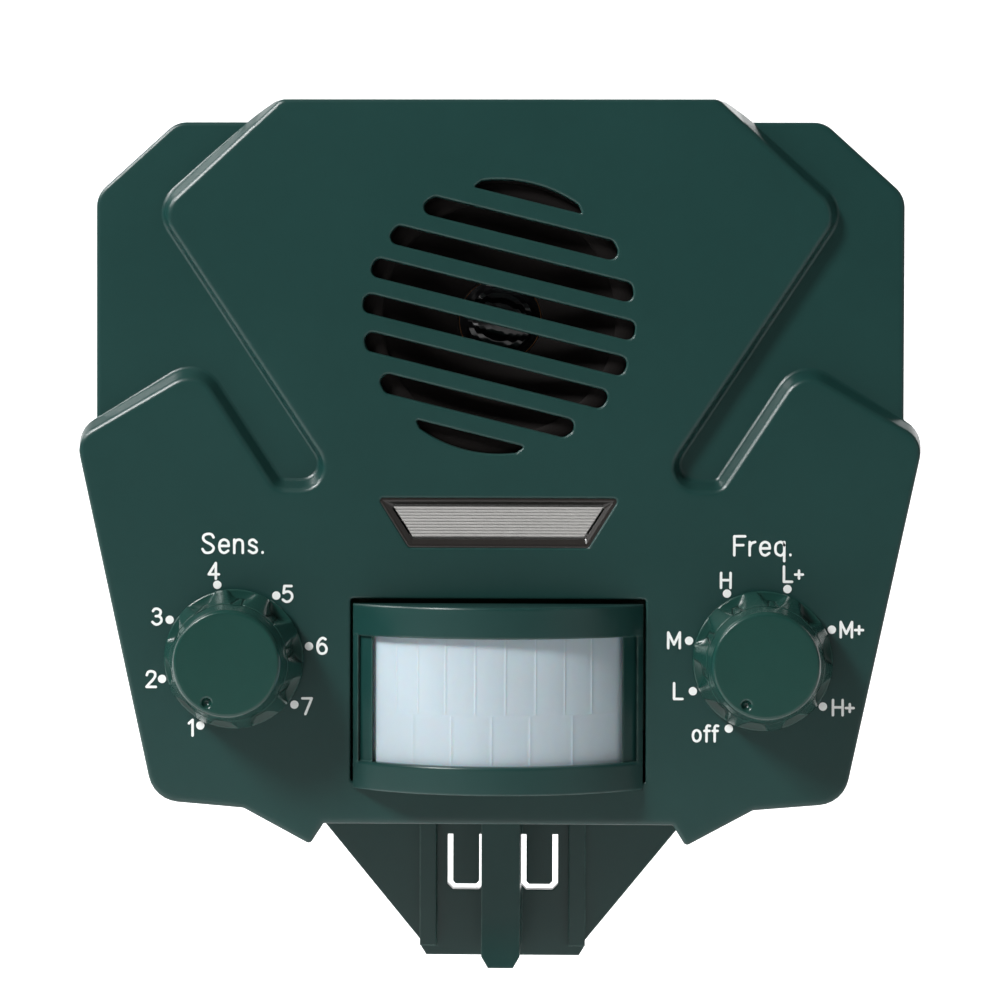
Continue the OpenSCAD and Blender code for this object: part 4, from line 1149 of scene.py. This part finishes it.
@dataclass
class SensorWindow:
    """Housing with a bowed front and the faceted lens inside it.

    Attributes:
        radius: radius of the bowed front.
        cheek: width of the outer part of a side post.
        lens_gap: how far the lens is behind the bowed front.
        recess: how far the outer and the inner part of a side post are set back.
        rooted: how far behind the face the housing ends.
        lap: how far the lower bar's underside ends ahead of the face.
        tuck: how far the posts go into the bars.
        rounds: roundings of a bar's upper and lower front edges.
        upper: where the facets of the upper row meet.
        lower: where the facets of the lower row meet.
        behind: how far the lens goes on behind the housing.
        shares: where a facet has points, as shares of its width.
        ridge_w: share of a facet that its ridge takes.
        swells: how much each facet is crowned, against crown.
    """

    radius: float = 34.0
    half_w: float = 26.8
    bar_steps: int = 48
    cheek: float = 1.05
    lens_half: float = 23.0
    lens_low: float = 42.2
    lens_high: float = 65.4
    low_z: float = 37.0
    high_z: float = 71.2
    split_z: float = 51.4
    lens_gap: float = 1.7
    lens_thick: float = 0.8
    recess: Flat = (0.15, 1.1)
    rooted: float = 2.0
    lap: float = 0.06
    tuck: float = 0.3
    rounds: Flat = (0.55, 0.3)
    upper: tuple[float, ...] = (-18.5, -14.4, -9.3, -3.8, 1.7, 7.2, 12.5, 17.4)
    lower: tuple[float, ...] = (-15.3, -8.2, -0.8, 6.2, 13.9)
    behind: float = 1.2
    shares: tuple[float, ...] = (0.0, 0.02, 0.05, 0.09, 0.25, 0.5, 0.75, 0.91, 0.95, 0.98, 1.0)
    ridge_w: float = 0.05
    ridge: float = 0.1
    crown: float = 0.11
    sunk: float = 0.12
    swells: tuple[float, ...] = (1.2, 0.5, 1.4, 0.7, 1.1, 0.4, 1.3, 0.6, 1.0)

    def __post_init__(self) -> None:
        """Finds the axis of the bowed front from the CAD housing."""
        self.face_y = low("front_shell").y
        self.back_y = self.face_y + self.rooted
        self.axis_y = low("sensor_housing").y + self.radius

    def bow(self, x: float) -> float:
        """Depth of the bowed front at x."""
        return self.axis_y - math.sqrt(self.radius ** 2 - x ** 2)

    def band(self, skin: Skin, bottom: float, top: float, back_low: float) -> None:
        """Adds a bowed bar across the housing.

        Args:
            skin: where it is added.
            bottom: its lower edge.
            top: its upper edge.
            back_low: depth at which its underside ends.
        """
        rows: list[Row] = [[], [], [], []]
        for k in range(self.bar_steps + 1):
            x = -self.half_w + 2 * self.half_w * k / self.bar_steps
            places = ((self.back_y, top), (self.bow(x), top), (self.bow(x), bottom), (back_low, bottom))
            for row, (y, z) in zip(rows, places):
                row.append(Vector((x, y, z)))
        skin.sweep(rows, self.rounds, wrap=False)
        skin.patch([rows[3], rows[0]], wrap=False)
        for k in (0, -1):
            skin.fill([self.end_of(rows, k)], Vector((1.0 if k else -1.0, 0, 0)))

    def end_of(self, rows: Sequence[Row], k: int) -> Row:
        """The cross-section of a swept bar at one of its ends."""
        made = [rows[0][k]]
        for before, corner, after, r in zip(rows, rows[1:], rows[2:], self.rounds):
            a, b = towards(corner[k], before[k], r), towards(corner[k], after[k], r)
            made += [bend(a, corner[k], b, step / ROUNDING_STEPS) for step in range(ROUNDING_STEPS + 1)]
        return made + [rows[-1][k]]

    def post(self, skin: Skin, ends: Sequence[float], inset: float) -> None:
        """Adds an upright between the bars, from one x to another, set back by inset."""
        x0, x1 = sorted(ends)
        flat = [(x0, self.bow(x0) + inset), (x1, self.bow(x1) + inset), (x1, self.back_y), (x0, self.back_y)]
        rows = [[Vector((x, y, z)) for x, y in flat]
                for z in (self.lens_low - self.tuck, self.lens_high + self.tuck)]
        for i in range(4):
            j = (i + 1) % 4
            skin.patch([[row[i], row[j]] for row in rows], wrap=False)
        for row in rows:
            skin.fill([row], Vector((0, 0, 1)))

    def housing(self) -> None:
        """Makes the housing."""
        skin = Skin()
        self.band(skin, self.lens_high, self.high_z, self.back_y)
        self.band(skin, self.low_z, self.lens_low, self.face_y - self.lap)
        for s in (-1, 1):
            outer, mid, inner = s * self.half_w, s * (self.half_w - self.cheek), s * self.lens_half
            self.post(skin, (outer, mid), self.recess[0])
            self.post(skin, (mid, inner), self.recess[1])
        skin.build("sensor_frame", Body.CASING, Slot.CASING, ("sensor_housing",))

    def lens_point(self, radius: float, angle: float, z: float) -> Vector:
        """A point at a radius about the axis of the bowed front."""
        return Vector((radius * math.sin(angle), self.axis_y - radius * math.cos(angle), z))

    def facet(self, x0: float, x1: float, heights: Sequence[float], swell: float) -> list[Row]:
        """Front of one facet of the lens.

        Args:
            x0: its left edge.
            x1: its right edge.
            heights: height of each row of points.
            swell: how much it is crowned.

        Returns:
            Its rows, from below.
        """
        r = self.radius - self.lens_gap
        a0, a1 = math.asin(x0 / r), math.asin(x1 / r)
        rows = []
        for sz, z in zip(self.shares, heights):
            row = []
            for sa in self.shares:
                rim = min(1.0, min(sa, 1 - sa) / self.ridge_w) * min(1.0, min(sz, 1 - sz) / self.ridge_w)
                crown = self.crown * swell * (1 - (2 * sa - 1) ** 2)
                out = r - self.sunk + (1 - rim) * self.ridge + rim * crown
                row.append(self.lens_point(out, a0 + (a1 - a0) * sa, z))
            rows.append(row)
        return rows

    def lens(self) -> None:
        """Makes the lens: two rows of shallow pillows with fine ridges between them."""
        skin = Skin()
        inner = self.radius - self.lens_gap - self.lens_thick
        wide = self.lens_half + self.behind
        bands = ((self.lens_low - self.behind, self.split_z, self.lower),
                 (self.split_z, self.lens_high + self.behind, self.upper))
        for band, (z0, z1, edges) in enumerate(bands):
            cuts = (-wide, *edges, wide)
            heights = [z0 + (z1 - z0) * share for share in self.shares]
            across: list[Row] = [[] for _ in self.shares]
            for x0, x1, swell in zip(cuts, cuts[1:], self.swells):
                rows = self.facet(x0, x1, heights, swell)
                skin.patch(rows, wrap=False)
                for line, row in zip(across, rows):
                    line += row
            backs = [[self.lens_point(inner, math.atan2(p.x, self.axis_y - p.y), p.z) for p in line]
                     for line in across]
            skin.patch(backs, wrap=False)
            for k in (0, -1):
                skin.patch([[line[k] for line in side] for side in (across, backs)], wrap=False)
            skin.patch([across[-band], backs[-band]], wrap=False)
        skin.build("sensor_lens_facets", Body.CASING, Slot.WHITE_LENS, ("sensor_lens",))

    def build(self) -> None:
        """Makes the housing and the lens."""
        self.housing()
        self.lens()


# --- strobe ---


@dataclass
class StrobeWindow:
    """Dark bezel round a ribbed clear window.

    Attributes:
        outer: the bezel's outline.
        window: the window's outline.
        border: width of the bezel's flat front.
        opening: how far the bezel's opening is outside the window, in front and behind.
        proud: how far the bezel's front and its inner edge are behind the CAD front.
        rounds: roundings of the bezel's edges.
        rib_h: height of a rib.
        sunk: depth of the valleys between the ribs under the face.
        clear: how far the ribs stay inside the window, across and upwards.
        thin: how far the window's back is ahead of the bezel's.
    """

    outer: tuple[Corner, ...] = (
        (-16.7, 81.45, 0.7), (16.7, 81.45, 0.7), (22.6, 90.85, 0.6), (-22.6, 90.85, 0.6))
    window: tuple[Corner, ...] = (
        (-15.8, 83.5, 0.2), (15.8, 83.5, 0.2), (19.45, 89.15, 0.2), (-19.45, 89.15, 0.2))
    border: float = 0.7
    opening: Flat = (0.36, 0.3)
    proud: Flat = (0.1, 0.6)
    rounds: tuple[float, float, float] = (0.35, 0.3, 0.05)
    ribs: int = 10
    rib_steps: int = 8
    rib_h: float = 0.22
    sunk: float = 1.0
    clear: Flat = (0.024, 0.02)
    thin: float = 0.3

    def __post_init__(self) -> None:
        """Reads the planes from the CAD nodes."""
        self.face_y = low("front_shell").y
        self.front_y, self.back_y = low("strobe_bezel").y, high("strobe_bezel").y

    def bezel(self) -> None:
        """Makes the bezel."""
        skin = Skin()
        flat_y, inner_y = (self.front_y + behind for behind in self.proud)
        rows = [at_depth(outline(corners, grow), y) for corners, grow, y in (
            (self.outer, 0.0, self.back_y), (self.outer, 0.0, flat_y), (self.outer, -self.border, flat_y),
            (self.window, self.opening[0], inner_y), (self.window, self.opening[1], self.back_y))]
        skin.sweep(rows, self.rounds)
        skin.fill([rows[0], rows[-1]], -FRONT)
        skin.build("strobe_surround", Body.CASING, Slot.BLACK, ("strobe_bezel",), SMOKED)

    def ribbed(self) -> None:
        """Makes the ribbed window."""
        skin = Skin()
        _, (x0, z0, _), (x1, z1, _), _ = self.window
        in_x, in_z = self.clear
        lines = []
        count = self.ribs * self.rib_steps
        for k in range(count + 1):
            t = k / count
            z = z0 + in_z + (z1 - z0 - 2 * in_z) * t
            half = x0 + (x1 - x0) * (z - z0) / (z1 - z0) - in_x
            depth = self.face_y + self.sunk - self.rib_h * math.sqrt(abs(math.sin(math.pi * t * self.ribs)))
            lines.append([Vector((-half, depth, z)), Vector((half, depth, z))])
        backs = [[Vector((p.x, self.back_y - self.thin, p.z)) for p in line] for line in lines]
        sides = [[[line[k] for line in rows] for rows in (lines, backs)] for k in (0, 1)]
        ends = [[lines[k], backs[k]] for k in (0, -1)]
        for rows in (lines, backs, *sides, *ends):
            skin.patch(rows, wrap=False)
        skin.build("strobe_ribbed_window", Body.CASING, Slot.CLEAR, ("strobe_lens",))

    def build(self) -> None:
        """Makes the bezel and the window."""
        self.bezel()
        self.ribbed()


# --- pieces that keep their CAD shape ---


@dataclass
class Softened:
    """A CAD node's own shape with its edges rounded.

    Attributes:
        node: the CAD node.
        body: the body that it rides on.
        slot: the material slot.
        width: size of the rounding.
        angle: edges sharper than this many degrees are rounded.
        weld: corners this near to each other become one.
        level: faces that meet at less than this many degrees become one.
        segments: segments in each rounding.
    """

    node: str
    body: Body
    slot: Slot
    width: float
    angle: float = 32.0
    weld: float = 0.02
    level: float = 0.6
    segments: int = 2

    def build(self) -> None:
        """Makes the rounded piece."""
        source = frame["nodes"][self.node]
        mesh = source.data.copy()
        mesh.name = self.node + "_rounded"
        stored = mesh.attributes.get("custom_normal")
        if stored:
            mesh.attributes.remove(stored)
        work = bmesh.new()
        work.from_mesh(mesh)
        bmesh.ops.remove_doubles(work, verts=work.verts, dist=self.weld * MM)
        level = math.radians(self.level)
        bmesh.ops.dissolve_limit(work, angle_limit=level, verts=work.verts, edges=work.edges)
        bmesh.ops.recalc_face_normals(work, faces=work.faces)
        work.to_mesh(mesh)
        work.free()
        mesh.shade_smooth()
        made = bpy.data.objects.new(mesh.name, mesh)
        register(made, self.body, (self.node,), FINISHES[self.slot])
        bevel = made.modifiers.new("rounding", "BEVEL")
        bevel.width = self.width * MM
        bevel.segments = self.segments
        bevel.limit_method = "ANGLE"
        bevel.angle_limit = math.radians(self.angle)
        bevel.harden_normals = True
        bevel.use_clamp_overlap = True
        weigh = made.modifiers.new("even", "WEIGHTED_NORMAL")
        weigh.keep_sharp = True


def dress_cad_nodes() -> None:
    """Gives every CAD node its own finish or that of its slot in the record."""
    by_name = {slot.value: slot for slot in Slot}
    for row in frame["record"]["subparts"]:
        node = frame["nodes"][row["node"]]
        finish = OWN_FINISH.get(row["node"], FINISHES[by_name[row["material_slot"]]])
        node.data.materials.clear()
        node.data.materials.append(finish.material())


# --- studio ---


@dataclass
class Studio:
    """Pale floor, soft lights and the camera.

    Attributes:
        eye: where the camera stands, in millimetres.
        aim: where it looks.
        roll: how far it is turned about its line of sight, in degrees.
        lens_mm: its focal length.
        film_mm: width of its sensor.
        nearest: nearest distance that it sees, in metres.
        floor_drop: how far the floor is under the object, in millimetres.
        floor: the floor's half width, front edge, where it bends, the bend's radius and the wall's
            height, in metres.
        bend_steps: segments in the bend.
        greys: darkest and lightest tone of the floor's paper.
        glow: strength of the light behind the object.
        glow_from: where the glow starts and where it is full, in metres behind the object.
        sky: strength of the light from all round.
        lights: name, place in metres, side in metres and power in watts of each softbox.
    """

    eye: Corner = (16.9, -690.0, 105.9)
    aim: Corner = (0.3, -40.0, 90.4)
    roll: float = 0.15
    lens_mm: float = 126.8
    film_mm: float = 36.0
    nearest: float = 0.01
    floor_drop: float = 150.0
    floor: tuple[float, ...] = (5.0, -4.0, 2.0, 0.8, 4.5)
    bend_steps: int = 10
    greys: Flat = (0.93, 0.95)
    mottle_scale: float = 3.0
    glow: float = 0.9
    glow_from: Flat = (0.3, 0.75)
    sky: float = 0.07
    lights: tuple[tuple[str, Corner, float, float], ...] = (
        ("key", (-0.7, -0.75, 0.85), 0.3, 17.0), ("side", (-1.0, -0.12, 0.8), 0.4, 7.0),
        ("fill", (1.1, -1.0, 0.45), 0.9, 1.0), ("back", (0.5, 1.2, 0.9), 1.0, 6.0))

    def place(self, name: str, data: bpy.types.ID) -> bpy.types.Object:
        """Makes and links an object."""
        made = bpy.data.objects.new(name, data)
        bpy.context.scene.collection.objects.link(made)
        return made

    def camera(self) -> None:
        """Makes the camera."""
        data = bpy.data.cameras.new("camera")
        data.lens = self.lens_mm
        data.sensor_width = self.film_mm
        data.clip_start = self.nearest
        made = self.place("camera", data)
        made.location = Vector(self.eye) * MM
        made.rotation_euler = (Vector(self.aim) - Vector(self.eye)).to_track_quat("-Z", "Y").to_euler()
        made.rotation_euler.rotate_axis("Z", math.radians(self.roll))
        bpy.context.scene.camera = made

    def light(self, name: str, spot: Corner, size: float, power: float) -> None:
        """Makes one square softbox aimed at the object.

        Args:
            name: its name.
            spot: where it stands, in metres.
            size: its side in metres.
            power: its power in watts.
        """
        data = bpy.data.lights.new(name, "AREA")
        data.size = size
        data.energy = power
        made = self.place(name, data)
        made.location = spot
        middle = (CAD_BOX[0] + CAD_BOX[1]) / 2
        made.rotation_euler = (middle - Vector(spot)).to_track_quat("-Z", "Y").to_euler()

    def stage(self) -> None:
        """Makes the floor, which curves up into a plain wall far behind."""
        lowest = CAD_BOX[0].z - self.floor_drop * MM
        half, front, turn, r, wall = self.floor
        profile = [(front, lowest), (turn, lowest)]
        for k in range(self.bend_steps + 1):
            a = math.pi / 2 * k / self.bend_steps
            profile.append((turn + math.sin(a) * r, lowest + r - math.cos(a) * r))
        profile.append((turn + r, lowest + wall))
        mesh = bpy.data.meshes.new("floor")
        points = [(x, y, z) for y, z in profile for x in (-half, half)]
        faces = [(2 * k, 2 * k + 1, 2 * k + 3, 2 * k + 2) for k in range(len(profile) - 1)]
        mesh.from_pydata(points, [], faces)
        mesh.shade_smooth()
        mesh.materials.append(self.paper())
        self.place("floor", mesh)

    def paper(self) -> bpy.types.Material:
        """Builds the floor's material, which glows behind the object."""
        made = bpy.data.materials.new("pale_paper")
        made.use_nodes = True
        made.node_tree.nodes.clear()
        g = Graph(made.node_tree)
        dark, light, black, white = ((v, v, v, 1.0) for v in (*self.greys, 0.0, 1.0))
        tone = g.span(g.noise(g.node("TexCoord").outputs["Object"], self.mottle_scale), 0.3, 0.7, 0.0, 1.0)
        shader = g.node("BsdfPrincipled", Base_Color=g.mix(tone, dark, light), Roughness=0.9)
        depth = g.node("SeparateXYZ", Vector=g.node("TexCoord").outputs["Object"]).outputs[1]
        lit = g.span(depth, *self.glow_from, 0.0, 1.0)
        g.put(shader, "Emission_Color", g.mix(lit, black, white))
        g.put(shader, "Emission_Strength", self.glow)
        g.node("OutputMaterial", Surface=shader.outputs[0])
        return made

    def build(self) -> None:
        """Makes the whole studio."""
        self.camera()
        self.stage()
        for row in self.lights:
            self.light(*row)
        world = bpy.data.worlds.new("studio")
        world.use_nodes = True
        sky = world.node_tree.nodes["Background"]
        sky.inputs["Color"].default_value = (1.0, 1.0, 1.0, 1.0)
        sky.inputs["Strength"].default_value = self.sky
        bpy.context.scene.world = world
        bpy.context.scene.view_settings.view_transform = "Standard"


def main() -> None:
    """Builds the studio and every piece of the repeller."""
    logging.basicConfig(level=logging.INFO, format="%(name)s: %(message)s")
    Studio().build()
    dress_cad_nodes()
    FrontShell().build()
    Legends().build()
    Knob("sensitivity_knob", Body.SENSITIVITY).build()
    Knob("frequency_knob", Body.FREQUENCY).build()
    SensorWindow().build()
    StrobeWindow().build()
    for node, body, slot, width in (
        ("rear_shell", Body.CASING, Slot.CASING, 0.22),
        ("battery_door", Body.DOOR, Slot.CASING, 0.5),
        ("inlet_cover", Body.COVER, Slot.RUBBER, 0.4),
    ):
        Softened(node, body, slot, width).build()


if __name__ == "__main__":
    main()
